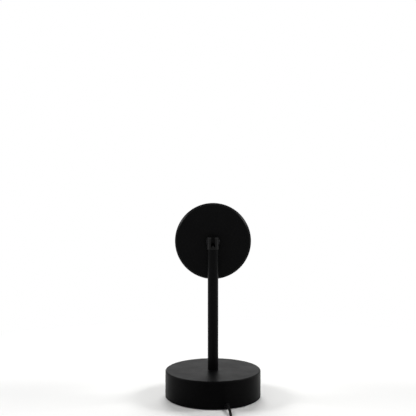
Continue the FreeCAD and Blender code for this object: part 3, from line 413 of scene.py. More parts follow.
def makeBoard(name, look, shape):
    colour, track = look["colour"], look["track"]
    material, tree, shader = startFinish(name, look)
    tracks = addNode(tree, "ShaderNodeTexBrick", [
        ("Vector", placeOn(tree, turn=look["turn"])), ("Scale", 1 / look["pitch"]),
        ("Mortar Size", shape["trackWidth"]), ("Mortar Smooth", shape["trackEdge"]),
        ("Brick Width", shape["between"]), ("Mortar", (*track, 1)),
        ("Color1", (*colour, 1)), ("Color2", (*shade(colour, shape["lighter"]), 1)),
    ]).outputs
    tree.links.new(tracks["Color"], shader.inputs["Base Color"])
    film = addNoise(tree, placeOn(tree), shape["film"])
    polish(tree, shader, film, shape["roughness"])
    addBump(tree, shader, [(tracks["Fac"], shape["trackDepth"]), (film, shape["filmDepth"])])
    return material


# LED: silicone over phosphor, lit

ledValues = {
    "colour": (0.95, 0.72, 0.22),
    "darker": 0.8,
    "light": (1.0, 0.72, 0.30),
    "strength": 2.2,
    "roughness": 0.28,
    "powder": (0.00025, 4.0, 0.7),
    "depth": 0.00001,
}


def makeLed(name, values):
    colour = values["colour"]
    glow = [("Emission Color", (*values["light"], 1)), ("Emission Strength", values["strength"])]
    material, tree, shader = startFinish(name, values, glow)
    powder = addNoise(tree, placeOn(tree), *values["powder"])
    paint(tree, shader, powder, zip(noiseSpan, (shade(colour, values["darker"]), colour)))
    addBump(tree, shader, [(powder, values["depth"])])
    return material


# Colour filter: a coated glass disc, pink in the middle, then orange, and yellow outside,
# which is the order of the light's colours on the wall

filterValues = {
    "colour": (1.0, 0.4, 0.08),
    "roughness": 0.06,
    "clearness": 0.85,
    "index": 1.5,
    "waves": (0.006, 1.0),
    "waveDepth": 0.000006,
    "centre": (0.0, 0.0, tiltAxisHeight * mm),
    "radius": 0.0272,
    "unevenness": (-0.03, 0.03),  # of the rings, as shares of the radius, in patches of a size
    "patches": 0.012,
    "rings": [  # share of the radius, and the colour there
        (0.0, (1.0, 0.07, 0.16)),
        (0.22, (1.0, 0.12, 0.09)),
        (0.42, (1.0, 0.27, 0.06)),
        (0.66, (1.0, 0.56, 0.05)),
        (1.0, (1.0, 0.64, 0.04)),
    ],
}


def makeFilter(name, values):
    glass = [("Transmission Weight", values["clearness"]), ("IOR", values["index"])]
    material, tree, shader = startFinish(name, values, glass)
    place = placeOn(tree)
    flat = placeOn(tree, centre=values["centre"], stretch=(1, 1000, 1))  # places along Y count as one
    reach = addMaths(tree, "DIVIDE", distanceOf(tree, flat), values["radius"])
    uneven = addRange(tree, addNoise(tree, place, values["patches"]), *values["unevenness"])
    paint(tree, shader, addMaths(tree, "ADD", reach, uneven), values["rings"])
    addBump(tree, shader, [(addNoise(tree, place, *values["waves"]), values["waveDepth"])])
    return material


# Clear glass of the front lens, with a faint cast and a trace of dust

lensValues = {
    "colour": (0.965, 0.985, 0.98),
    "index": 1.49,
    "patches": (0.02, 0.01),
    "dust": (0.0012, 6.0, 0.75),
    "dustSpan": (0.5, 0.75),  # values of the dust's pattern over which the glass dulls
    "roughness": (0.0, 0.05),
}


def makeLensGlass(name, values):
    glass = [("Transmission Weight", 1.0), ("IOR", values["index"])]
    material, tree, shader = startFinish(name, values, glass)
    place = placeOn(tree)
    polish(tree, shader, addNoise(tree, place, *values["dust"]), values["roughness"], values["dustSpan"])
    speckle(tree, shader, place, values["colour"], *values["patches"])
    return material


# Woven hook-and-loop tape of the coil's tie

tapeValues = {
    "colour": (0.012, 0.012, 0.013),
    "shades": (0.5, 1.6),  # of the colour: painted shade between the threads, painted light on their raised tops
    "threadSpan": (0.1, 0.8),  # values of the weave's pattern there
    "roughness": 0.82,
    "specular": 0.25,
    "sheen": (0.15, 0.5),  # strength and roughness
    "pitch": 0.00045,
    "bend": 0.6,  # how far the threads stray
    "depth": 0.00009,
    "turn": (0, 0, tieAngle),
}


def makeTape(name, values):
    sheen = zip(("Sheen Weight", "Sheen Roughness"), values["sheen"])
    material, tree, shader = startFinish(name, values, sheen)
    place = placeOn(tree, turn=values["turn"])
    threads = []
    for direction in ("X", "Y", "Z"):
        wave = addNode(tree, "ShaderNodeTexWave", [
            ("Vector", place), ("Distortion", values["bend"]), ("Detail", 1.0),
            ("Scale", 0.314 / values["pitch"]),  # a band is 0.314 wide at scale 1
        ], bands_direction=direction)
        threads.append(wave.outputs["Fac"])
    woven = addMaths(tree, "MAXIMUM", product(tree, threads[0], threads[2]), threads[1])
    shades = [shade(values["colour"], share) for share in values["shades"]]
    # painted shade in the weave's gaps, painted light on the raised threads
    paint(tree, shader, woven, zip(values["threadSpan"], shades))
    addBump(tree, shader, [(woven, values["depth"])])
    return material


finishes = {name: makeFinish(name, values) for name, values in plainFinishes.items()}
for board, look in boardLooks.items():
    finishes[board] = makeBoard(board, look, boardShape)
finishes["foamRubber"] = makeFoam("foamRubber", foamRubber)
finishes["ironCasting"] = makeCasting("ironCasting", ironCasting)
finishes["led"] = makeLed("led", ledValues)
finishes["filterGlass"] = makeFilter("filterGlass", filterValues)
finishes["lensGlass"] = makeLensGlass("lensGlass", lensValues)
finishes["tape"] = makeTape("tape", tapeValues)
print("materials:", len(finishes))


# Finishes of the CAD nodes that stay as they are

finishOfNode = {
    "powderCoat": ["stem_tube", "head_bracket", "head_housing"],
    "forkPaint": ["yoke"],
    "basePaint": ["base_shell"],
    "blackMoulding": [
        "cord_clamp", "friction_washers", "lens_barrel", "front_bezel", "switch_base", "switch_cover",
        "switch_button", "plug_body", "plug_insert",
    ],
    "cordSkin": ["cord_grommet", "lens_gasket"],
    "ironCasting": ["base_weight"],
    "zincPlate": [
        "base_cover", "stem_nipple", "stem_washer", "stem_nut", "bracket_washer", "bracket_nut",
    ],
    "blackOxide": ["pivot_screw", "pivot_nut"],
    "nickelSheet": ["plug_shell"],
    "sinkAluminium": ["heat_sink"],
    "contactGold": ["plug_contacts"],
    "boardWhite": ["led_board"],
    "boardGreen": ["driver_board"],
    "componentBody": ["driver_parts", "switch_module"],
    "led": ["led_emitter"],
    "mirrorCoat": ["reflector"],
    "filterGlass": ["colour_filter"],
    "lensGlass": ["front_lens"],
}


def dressNodes(table):
    count = 0
    for finish, names in table.items():
        for name in names:
            slots = nodes[name].data.materials
            slots.clear()
            slots.append(finishes[finish])
            count += 1
    print("CAD nodes dressed:", count)


dressNodes(finishOfNode)


# Pieces: what several share


def makeCurve(name, points, diameter, finish, sides=4, steps=5):
    # a smooth round tube: the points, in millimetres, are the spline's control points
    data = bpy.data.curves.new(name, "CURVE")
    data.dimensions = "3D"
    spline = data.splines.new("NURBS")
    spline.points.add(len(points) - 1)
    for knot, point in zip(spline.points, points):
        knot.co = (*metres(point), 1)
    spline.order_u = 3
    spline.use_endpoint_u = True
    data.resolution_u = steps
    data.bevel_depth = diameter / 2 * mm
    data.bevel_resolution = sides
    data.use_fill_caps = True
    data.materials.append(finishes[finish])
    return addObject(name, data)


def smooth(piece, crease=None):
    # smooth shading, but for edges sharper than the crease, in degrees
    piece.data.shade_smooth()
    if crease:
        piece.data.set_sharp_from_angle(angle=math.radians(crease))


def plainMesh(source, name):
    # the evaluated object as a mesh with no modifiers, in place of the source
    bpy.context.view_layer.update()
    graph = bpy.context.evaluated_depsgraph_get()
    mesh = bpy.data.meshes.new_from_object(source.evaluated_get(graph), depsgraph=graph)
    bpy.data.objects.remove(source)
    mesh.name = name
    return addObject(name, mesh)


def finishMesh(piece, finish, crease=38, weld=0.0000005):
    # normals outwards, a finish, and smooth shading where faces meet softly
    work = bmesh.new()
    work.from_mesh(piece.data)
    bmesh.ops.remove_doubles(work, verts=work.verts, dist=weld)
    bmesh.ops.recalc_face_normals(work, faces=work.faces)
    work.to_mesh(piece.data)
    work.free()
    piece.data.materials.clear()
    piece.data.materials.append(finishes[finish])
    smooth(piece, crease)


def adopt(piece, body, slot, *stoodFor):
    # the piece moves with the body, and stands for any CAD nodes that are named, which are hidden
    if stoodFor:
        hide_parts(*stoodFor)
    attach(piece, body)


# Supply cord: from the base through the put-away coil to the switch, and on to the plug

cordValues = {
    "diameter": 2.4,
    "exit": (12.68, -44.22, 3.0),
    "lead": [
        (14.20, -49.50, 3.0), (14.9, -57.0, 1.5), (15.2, -66.0, 1.3), (14.3, -79.0, 1.3),
        (15.4, -93.0, 1.3), (14.7, -106.0, 1.6), (15.0, -116.0, 1.85), (15.0, -125.6, 1.85),
    ],
    "mid": [
        (31.9, -109.425, 10.55), (25.9, -109.425, 10.55), (17.6, -108.3, 8.3), (9.8, -107.3, 4.9),
        (3.0, -107.6, 3.0), (-3.0, -107.6, 3.0),
    ],
    "tail": [
        (-39.0, -107.6, 3.0), (-43.5, -107.6, 3.0), (-51.2, -110.0, 1.6), (-55.9, -116.2, 1.3),
        (-55.9, -124.0, 1.3), (-51.0, -130.4, 2.0), (-43.4, -132.6, 4.0), (-38.0, -132.6, 4.0),
    ],
    "length": 1346.0,
    "tailLength": 48.8,
}

coilValues = {
    "middle": (34.3, -128.0),
    "radius": 19.3,
    "spacing": 2.9,
    "firstHeight": 1.85,
    "layerTurns": (3.25, 3.0, 3.0, 3.0),
    "climbTurns": 0.5,
    "startAngle": 180.0,
    "pointsPerTurn": 24,
}


def coilPlace(values, turn):
    # each layer spirals a spacing per turn, in and out in turn, and climbs while the spiral reverses
    angle = math.radians(values["startAngle"] + 360 * turn)
    spacing, climb = values["spacing"], values["climbTurns"]
    radius, height, sense = values["radius"], values["firstHeight"], -1
    for layer in values["layerTurns"]:
        if turn <= layer:
            radius += sense * spacing * turn
            break
        radius += sense * spacing * layer
        turn -= layer
        if turn <= climb:
            share = turn / climb
            radius += sense * climb * spacing * share * (1 - share)
            height += spacing * share * share * (3 - 2 * share)
            break
        turn -= climb
        height += spacing
        sense = -sense
    x, y = rotated(radius, 0, angle)
    return (values["middle"][0] + x, values["middle"][1] + y, height)


def makeSupplyCord(values, coil):
    turns = sum(coil["layerTurns"]) + coil["climbTurns"] * (len(coil["layerTurns"]) - 1)
    steps = round(turns * coil["pointsPerTurn"])
    wound = [coilPlace(coil, number / coil["pointsPerTurn"]) for number in range(steps + 1)]
    points = [values["exit"]] + values["lead"] + wound + values["mid"]
    cord = makeCurve("supplyCord", points, values["diameter"], "cordSkin", sides=5, steps=4)
    adopt(cord, "stand", "cord_pvc", "cord_lead", "cord_coil", "cord_mid")
    tail = makeCurve("tailCord", values["tail"], values["diameter"], "cordSkin", sides=5, steps=8)
    adopt(tail, "stand", "cord_pvc", "cord_tail")
    print("cord: coil of", turns, "turns")
    return cord, tail


supplyCord, tailCord = makeSupplyCord(cordValues, coilValues)


# Tie round the coil: a strap of woven tape with its loose end lapped over itself

tieValues = {
    "near": 8.05,  # from the coil's middle to the strap's inner face
    "far": 21.10,
    "low": 0.60,
    "high": 11.95,
    "corner": 2.6,
    "width": 6.0,
    "thick": 0.6,
    "edge": 0.17,  # rounding of the strap's edges
    "start": 1.2,  # where the strap begins, along its top from the coil's middle
    "lap": 13.5,  # how far the loose end runs on over the start
    "rise": 3.0,  # length over which it climbs onto it
    "gap": 0.03,
    "step": 0.45,
}


def strapPlace(values, along):
    # a point of the rounded rectangle round the bundle and the way out there, both (outward, up)
    corner = values["corner"]
    across = (values["far"] - values["near"]) / 2 - corner
    upright = (values["high"] - values["low"]) / 2 - corner
    middleX = (values["far"] + values["near"]) / 2
    middleZ = (values["high"] + values["low"]) / 2
    quarter = math.pi / 2 * corner
    along %= 4 * (across + upright + quarter)
    sides = [(across, 1, 1, 90), (upright, 1, -1, 0), (across, -1, -1, -90), (upright, -1, 1, -180)]
    for half, signX, signZ, start in sides:
        angle = math.radians(start - math.degrees(max(0.0, along - 2 * half) / corner))
        if along <= 2 * half + quarter:
            back = max(0.0, 2 * half - along)
            x = middleX + signX * across + corner * math.cos(angle) - back * math.sin(angle)
            z = middleZ + signZ * upright + corner * math.sin(angle) + back * math.cos(angle)
            return (x, z), (math.cos(angle), math.sin(angle))
        along -= 2 * half + quarter


def makeTie(values, coil):
    half, edge, thick = values["width"] / 2, values["edge"], values["thick"]
    section = [
        (0, edge - half), (edge, -half), (thick - edge, -half), (thick, edge - half),
        (thick, half - edge), (thick - edge, half), (edge, half), (0, half - edge),
    ]
    square = 2 * (values["far"] - values["near"] + values["high"] - values["low"])
    around = square + (2 * math.pi - 8) * values["corner"]
    count = round((around + values["lap"]) / values["step"])
    vertices = []
    for number in range(count + 1):
        travel = (around + values["lap"]) * number / count
        climb = min(1.0, max(0.0, (travel - around + values["rise"]) / values["rise"]))
        lift = (thick + values["gap"]) * climb * climb * (3 - 2 * climb)
        (x, z), (outX, outZ) = strapPlace(values, values["start"] + travel)
        for height, side in section:
            out = x + outX * (lift + height)
            spotX, spotY = rotated(out, side, tieAngle)
            spotZ = z + outZ * (lift + height)
            vertices.append(metres((coil["middle"][0] + spotX, coil["middle"][1] + spotY, spotZ)))
    size = len(section)
    faces = [list(range(size)), list(range(count * size, (count + 1) * size))]
    for ring in range(count):
        for spot in range(size):
            follow = (spot + 1) % size
            here, ahead = ring * size, (ring + 1) * size
            faces.append((here + spot, here + follow, ahead + follow, ahead + spot))
    mesh = bpy.data.meshes.new("coilTie")
    mesh.from_pydata(vertices, [], faces)
    tie = addObject("coilTie", mesh)
    finishMesh(tie, "tape")
    adopt(tie, "stand", "tie_nylon", "coil_tie")
    return tie


coilTie = makeTie(tieValues, coilValues)
print("tie: done")


# Cord end and wires inside the lamp. A point's height and place are those of the CAD route

exitAngle = math.radians(-74)  # the line on which the cord leaves the base
wireSide = 0.58  # middle of the pair to the middle of each wire


def exitPlace(reach, height, side=0.0):
    return (*rotated(reach, side, exitAngle), height)


innerCordValues = {
    "diameter": 2.4,
    # way in from the lamp's axis, and height
    "route": [(46, 3.0), (38, 3.0), (29, 7.2), (25, 7.2), (15.5, 7.2)],
}

wireValues = {
    "diameter": 1.1,
    # (y, z) for wires that stay in one upright plane
    "stem": [(0, 139.6), (0, 75), (0, 11.6), (0, 6.65), (4.9, 6.65), (11.2, 6.65)],
    "pivot": [(0, 139.6), (0, 142.6), (6.0, 142.6), (7.5, 142.6)],
    "head": [
        (7.5, 142.6), (19.0, 142.6), (22.2, 142.6), (22.2, 139.4), (22.2, 134.7), (22.2, 131.5),
        (25.5, 131.5), (28.8, 131.5), (28.8, 134.7), (28.8, 137.5),
    ],
    # supply wires: on the cord's line first, as (way, height), then at y on a lane beside the middle
    "supply": [(15.5, 7.2), (11.5, 7.2)],
    "lane": 5.0,
    "laneHeight": 6.65,
    "laneRun": (5.0, 8.0, 11.2),
}

switchLeadValues = {
    "middle": (-21.0, -107.6, 3.0),
    "stub": (18.0, 12.5),  # from the switch's middle: the cord's end inside the case
    "wire": (12.5, 4.0),  # and its two wires
    "stubDiameter": 2.4,
    "wireDiameter": 1.0,
}


def makeInnerCord(values):
    points = [exitPlace(reach, height) for reach, height in values["route"]]
    cord = makeCurve("innerCord", points, values["diameter"], "cordSkin", steps=8)
    adopt(cord, "stand", "cord_pvc", "inner_cord")


def makeWires(values):
    diameter, height = values["diameter"], values["laneHeight"]
    for side, label, finish in ((-wireSide, "Left", "wireBlack"), (wireSide, "Right", "wireGrey")):
        for name, body in (("stem", "stand"), ("head", "head")):
            points = [(side, y, z) for y, z in values[name]]
            wire = makeCurve(name + "Wire" + label, points, diameter, finish, sides=3, steps=6)
            adopt(wire, body, "wire_sheath", name + "_wires")
        points = [(side, y, z) for y, z in values["pivot"]]
        raw = makeCurve("rawWire", points, diameter, finish, sides=3, steps=16)
        wire = plainMesh(raw, "pivotWire" + label)
        smooth(wire)
        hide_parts("pivot_wires")
        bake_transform(wire)
        points = [exitPlace(reach, level, side) for reach, level in values["supply"]]
        points += [(values["lane"] + side, y, height) for y in values["laneRun"]]
        wire = makeCurve("supplyWire" + label, points, diameter, finish, sides=3, steps=8)
        adopt(wire, "stand", "wire_sheath", "supply_wires")


def makeSwitchLeads(values):
    middleX, y, z = values["middle"]
    made = []
    for sense, label in ((-1, "Out"), (1, "In")):
        near, far = values["stub"]
        points = [(middleX + sense * reach, y, z) for reach in (near, (near + far) / 2, far)]
        made.append(makeCurve("switchLead" + label, points, values["stubDiameter"], "cordSkin"))
        near, far = values["wire"]
        for side, part, finish in ((-wireSide, "A", "wireBlack"), (wireSide, "B", "wireGrey")):
            points = [(middleX + sense * reach, y + side, z) for reach in (near, (near + far) / 2, far)]
            name = "switchWire" + label + part
            made.append(makeCurve(name, points, values["wireDiameter"], finish, sides=3))
    for piece in made:
        adopt(piece, "stand", "cord_pvc", "switch_leads")
    return made


makeInnerCord(innerCordValues)
makeWires(wireValues)
switchLeads = makeSwitchLeads(switchLeadValues)
print("inner cord and wires: done")


# Foot pad: a die-cut disc of foam rubber with three holes for the screw heads

padValues = {
    "radius": 41.5,
    "thick": 1.4,
    "edge": 0.16,
    "sides": 144,
    "holeRadius": 3.0,
    "holeCircle": 33.5,
    "holeAngles": (30, 150, 270),
    "holeSides": 40,
}


def makeFootPad(values):
    edge = values["edge"]
    data = bpy.data.curves.new("rawPad", "CURVE")
    data.dimensions = "2D"
    data.fill_mode = "BOTH"
    data.extrude = (values["thick"] / 2 - edge) * mm
    data.bevel_depth = edge * mm
    data.bevel_resolution = 2
    circles = [((0, 0, 0), values["radius"] - edge, values["sides"])]
    for middle in onCircle(values["holeCircle"], values["holeAngles"]):
        circles.append((middle, values["holeRadius"] + edge, values["holeSides"]))
    for middle, radius, sides in circles:
        spline = data.splines.new("POLY")
        spline.points.add(sides - 1)
        for point, place in zip(spline.points, rimOf(radius, sides)):
            point.co = (*(metres(middle) + metres(place)), 1)
        spline.use_cyclic_u = True
    pad = plainMesh(addObject("rawPad", data), "footPad")
    pad.data.transform(Matrix.Translation((0, 0, values["thick"] / 2 * mm)))
    finishMesh(pad, "foamRubber")
    adopt(pad, "stand", "pad_foam", "foot_pad")


makeFootPad(padValues)
print("foot pad: done")


# Spring under the button, with closed ends

springValues = {
    "middle": (-21.0, -107.6),
    "radius": 2.0,
    "wire": 0.3,
    "low": 2.34,
    "high": 4.71,
    "turns": 3.0,
    "endTurns": 0.9,
    "pointsPerTurn": 20,
    "keep": 0.44,  # share of its height that stays when the button is down
}


def makeSpring(values):
    middleX, middleY = values["middle"]
    wire, turns, ends = values["wire"], values["turns"], values["endTurns"]
    rise = values["high"] - values["low"] - 2 * ends * wire
    points = []
    for number in range(round((turns + 2 * ends) * values["pointsPerTurn"]) + 1):
        turn = number / values["pointsPerTurn"]
        climb = min(turn, ends) * wire + min(max(turn - ends, 0), turns) / turns * rise
        climb += max(turn - ends - turns, 0) * wire
        x, y = rotated(values["radius"], 0, 2 * math.pi * turn)
        points.append((middleX + x, middleY + y, values["low"] + climb))
    raw = makeCurve("rawSpring", points, wire, "springWire", sides=2, steps=2)
    spring = plainMesh(raw, "buttonSpring")
    smooth(spring)
    adopt(spring, "stand", "spring_steel", "button_spring")
    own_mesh(spring)
    return spring


buttonSpring = makeSpring(springValues)
print("spring: done")


# Geometry Nodes: what the trees share


def startTree(name, lengths, others=()):
    # a tree with named inputs for lengths, for others of (label, kind) and for the finish
    tree = bpy.data.node_groups.new(name, "GeometryNodeTree")
    inputs = [("Geometry", "Geometry"), *((label, "Float") for label in lengths), *others]
    for label, kind in inputs + [("Finish", "Material")]:
        tree.interface.new_socket(label, in_out="INPUT", socket_type="NodeSocket" + kind)
    tree.interface.new_socket("Geometry", in_out="OUTPUT", socket_type="NodeSocketGeometry")
    return tree, tree.nodes.new("NodeGroupInput").outputs


def endTree(tree, given, shape):
    realized = newOutput(tree, "GeometryNodeRealizeInstances", [("Geometry", shape)])
    links = [("Geometry", realized), ("Material", given["Finish"])]
    addNode(tree, "NodeGroupOutput", [("Geometry", newOutput(tree, "GeometryNodeSetMaterial", links))])
    return tree


def vectorOf(tree, x=0.0, y=0.0, z=0.0):
    return newOutput(tree, "ShaderNodeCombineXYZ", [("X", x), ("Y", y), ("Z", z)])


def scaleAcross(tree, mesh, share):
    # every point's distance from the Z axis times its own share
    links = [(0, newOutput(tree, "GeometryNodeInputPosition")), (1, vectorOf(tree, share, share, 1.0))]
    moved = newOutput(tree, "ShaderNodeVectorMath", links, operation="MULTIPLY")
    return newOutput(tree, "GeometryNodeSetPosition", [("Geometry", mesh), ("Position", moved)])


def shifted(tree, mesh, offset):
    return newOutput(tree, "GeometryNodeTransform", [("Geometry", mesh), ("Translation", offset)])


def onPoints(tree, points, shape, *more):
    links = [("Points", points), ("Instance", shape), *more]
    return newOutput(tree, "GeometryNodeInstanceOnPoints", links)


def facing(tree, direction):
    # the rotation that turns +Z that way
    turned = newOutput(tree, "FunctionNodeAlignRotationToVector", [("Vector", direction)], axis="Z")
    return ("Rotation", turned)


def circleOf(tree, radius, sides):
    links = [("Resolution", sides), ("Radius", radius)]
    return newOutput(tree, "GeometryNodeCurvePrimitiveCircle", links)


def cylinderOf(tree, radius, depth, sides, rings):
    # round the Z axis, with the origin in its middle
    links = [("Vertices", sides), ("Side Segments", rings), ("Radius", radius), ("Depth", depth)]
    return newOutput(tree, "GeometryNodeMeshCylinder", links)


def growPiece(name, tree, places, sizes, others, finish, crease=34):
    # runs a tree on bare points, with its sizes in millimetres, and keeps the result as a mesh
    mesh = bpy.data.meshes.new("raw" + name)
    mesh.from_pydata([metres(place) for place in places], [], [])
    raw = addObject("raw" + name, mesh)
    modifier = raw.modifiers.new("grow", "NODES")
    modifier.node_group = tree
    values = {label: size * mm for label, size in sizes.items()}
    values.update(others, Finish=finishes[finish])
    for item in tree.interface.items_tree:
        if item.in_out == "INPUT" and item.name in values:
            modifier[item.identifier] = values[item.name]
    made = plainMesh(raw, name)
    smooth(made, crease)
    return made


# Screws with a domed head, a cross recess and a rolled thread

screwSizes = ("Head Radius", "Head Height", "Shank Radius", "Shank Length", "Pitch", "Recess")
screwShape = {
    "headSides": 40,
    "headRings": 6,
    "shankSides": 24,
    "ringsPerPitch": 6.0,
    "dome": 0.42,  # share of the head's area that the dome leaves out at its top
    "domeCurve": 3.0,  # the higher, the steeper the head's side
    "arm": 0.26,  # a recess arm's width, as a share of the recess
    "recessRise": 1.05,  # middle of the recess's bars, as a share of the head's height
    "thread": 0.30,  # twice the thread's depth, as a share of the shank's radius
}


def makeScrewTree(shape):
    tree, given = startTree("screws", screwSizes, [("Direction", "Vector")])
    height, length, pitch = given["Head Height"], given["Shank Length"], given["Pitch"]
    head = cylinderOf(tree, given["Head Radius"], height, shape["headSides"], shape["headRings"])
    head = shifted(tree, head, vectorOf(tree, z=product(tree, height, 0.5)))
    place = newOutput(tree, "GeometryNodeInputPosition")
    parts = addNode(tree, "ShaderNodeSeparateXYZ", [(0, place)]).outputs
    level = addMaths(tree, "POWER", addMaths(tree, "DIVIDE", parts["Z"], height), shape["domeCurve"])
    lost = product(tree, level, shape["dome"])
    head = scaleAcross(tree, head, addMaths(tree, "SQRT", addMaths(tree, "SUBTRACT", 1.0, lost)))
    cut = addNode(tree, "GeometryNodeMeshBoolean", [
        ("Mesh 1", head), ("Self Intersection", True),
    ], operation="DIFFERENCE", solver="EXACT")
    recess, arm = given["Recess"], product(tree, given["Recess"], shape["arm"])
    top = vectorOf(tree, z=product(tree, height, shape["recessRise"]))
    for across, along in ((recess, arm), (arm, recess)):
        bar = newOutput(tree, "GeometryNodeMeshCube", [("Size", vectorOf(tree, across, along, height))])
        tree.links.new(shifted(tree, bar, top), cut.inputs["Mesh 2"])
    rings = product(tree, addMaths(tree, "DIVIDE", length, pitch), shape["ringsPerPitch"])
    shank = cylinderOf(tree, given["Shank Radius"], length, shape["shankSides"], rings)
    shank = shifted(tree, shank, vectorOf(tree, z=product(tree, length, -0.5)))
    angle = addMaths(tree, "ARCTAN2", parts["Y"], parts["X"])
    turn = addMaths(tree, "DIVIDE", angle, 2 * math.pi)
    phase = addMaths(tree, "ADD", addMaths(tree, "DIVIDE", parts["Z"], pitch), turn)
    groove = product(tree, addMaths(tree, "PINGPONG", phase, 0.5), shape["thread"])
    shank = scaleAcross(tree, shank, addMaths(tree, "SUBTRACT", 1.0, groove))
    screw = newOutput(tree, "GeometryNodeJoinGeometry", [(0, shank), (0, cut.outputs["Mesh"])])
    rows = onPoints(tree, given["Geometry"], screw, facing(tree, given["Direction"]))
    return endTree(tree, given, rows)


def inHead(radius, angles, depth):
    # places round the head's axis, at a depth along it
    return [(x, depth, tiltAxisHeight + z) for x, z, _ in onCircle(radius, angles)]


down, forward = (0, 0, -1), (0, 1, 0)

# Each: body, finish, slot, places of the heads' seats, way the heads face, screwSizes
screwSets = {
    "cover_screws": (
        "stand", "zincPlate", "zinc_steel", onCircle(33.5, (30, 150, 270), 1.4), down,
        (2.8, 1.0, 1.5, 6.5, 0.5, 3.0),
    ),
    "clamp_screws": (
        "stand", "zincPlate", "zinc_steel", [exitPlace(22, 4.4, -5), exitPlace(22, 4.4, 5)], down,
        (2.0, 1.2, 1.0, 7.5, 0.4, 2.2),
    ),
    "board_screws": (
        "stand", "zincPlate", "zinc_steel", [(0, 13.5, 7.2), (0, 26.5, 7.2)], down,
        (2.0, 1.2, 1.0, 4.7, 0.4, 2.2),
    ),
    "sink_screws": (
        "head", "zincPlate", "zinc_steel", inHead(31.5, (90, 210, 330), 27.0), forward,
        (2.2, 1.3, 1.2, 8.5, 0.45, 2.5),
    ),
    "led_screws": (
        "head", "zincPlate", "zinc_steel", inHead(15, (180, 0), 28.2), forward,
        (2.0, 1.2, 1.0, 3.9, 0.4, 2.2),
    ),
    "switch_screws": (
        "stand", "blackOxide", "black_screw", [(-30, -104.0, 1.6), (-12, -111.2, 1.6)], down,
        (1.8, 1.2, 0.95, 6.4, 0.5, 2.0),
    ),
}


def makeScrews(sets, shape):
    tree = makeScrewTree(shape)
    made = {}
    for node, (body, finish, slot, places, way, lengths) in sets.items():
        name = node.split("_")[0] + "Screws"
        sizes = dict(zip(screwSizes, lengths))
        made[node] = growPiece(name, tree, places, sizes, {"Direction": way}, finish)
        adopt(made[node], body, slot, node)
    print("screws:", len(made), "sets")
    return made


screws = makeScrews(screwSets, screwShape)


# Solder where the wires end on the two boards

solderValues = {
    "sizes": {"Radius": 0.52, "Height": 0.42},
    "segments": 20,
    "rings": 12,
    # each: body, middles of the pairs of wires that end on the board, way its face looks
    "pieces": {
        "baseSolder": ("stand", [(0, 11.7, 7.2), (wireValues["lane"], 11.7, 7.2)], down),
        "headSolder": ("head", [(0, 28.2, 138.0)], forward),
    },
}


def makeSolderTree(values):
    tree, given = startTree("solder", ("Radius", "Height"), [("Direction", "Vector")])
    ball = newOutput(tree, "GeometryNodeMeshUVSphere", [
        ("Segments", values["segments"]), ("Rings", values["rings"]), ("Radius", given["Radius"]),
    ])
    flat = vectorOf(tree, 1.0, 1.0, addMaths(tree, "DIVIDE", given["Height"], given["Radius"]))
    ball = newOutput(tree, "GeometryNodeTransform", [("Geometry", ball), ("Scale", flat)])
    drops = onPoints(tree, given["Geometry"], ball, facing(tree, given["Direction"]))
    return endTree(tree, given, drops)


def makeSolder(values):
    tree = makeSolderTree(values)
    for name, (body, pairs, way) in values["pieces"].items():
        places = [(x + side, y, z) for x, y, z in pairs for side in (-wireSide, wireSide)]
        piece = growPiece(name, tree, places, values["sizes"], {"Direction": way}, "solderTin")
        adopt(piece, body, "zinc_steel")
    print("solder: done")


makeSolder(solderValues)


# Grip ribs on the plug, and rings on its nose

ribValues = {
    "start": (-26.0, -132.6, 7.86),
    "count": 5,
    "sizes": {"Pitch": 1.8, "Length": 9.0, "Radius": 0.42},
    "points": 15,  # along a rib
    "sides": 14,
    "bluntness": 12.0,  # the higher, the shorter its tapered ends
    "tip": 0.002,  # square of the share of the radius that is left at the tips
}

ringValues = {
    "start": (-36.6, -132.6, 4.0),
    "count": 4,
    "sizes": {"Pitch": 1.45, "Small Radius": 2.16, "Large Radius": 2.97, "Thickness": 0.30},
    "points": 48,  # round a ring
    "sides": 12,
}


def rowOf(tree, given):
    links = [("Count", given["Count"]), ("Offset", vectorOf(tree, given["Pitch"]))]
    return newOutput(tree, "GeometryNodeMeshLine", links)


def makeRibTree(values):
    # round bars across the plug, thinner towards their ends
    tree, given = startTree("ribs", ("Pitch", "Length", "Radius"), [("Count", "Int")])
    half = product(tree, given["Length"], 0.5)
    back = product(tree, half, -1.0)
    links = [("Start", vectorOf(tree, y=back)), ("End", vectorOf(tree, y=half))]
    bar = newOutput(tree, "GeometryNodeCurvePrimitiveLine", links)
    bar = newOutput(tree, "GeometryNodeResampleCurve", [("Curve", bar), ("Count", values["points"])])
    share = newOutput(tree, "GeometryNodeSplineParameter")
    across = addMaths(tree, "SUBTRACT", product(tree, share, 2.0), 1.0)
    lost = addMaths(tree, "POWER", addMaths(tree, "ABSOLUTE", across), values["bluntness"])
    taper = addMaths(tree, "SQRT", addMaths(tree, "SUBTRACT", 1.0 + values["tip"], lost))
    profile = circleOf(tree, given["Radius"], values["sides"])
    swept = newOutput(tree, "GeometryNodeCurveToMesh", [
        ("Curve", bar), ("Profile Curve", profile), ("Scale", taper), ("Fill Caps", True),
    ])
    row = onPoints(tree, rowOf(tree, given), swept)
    return endTree(tree, given, onPoints(tree, given["Geometry"], row))


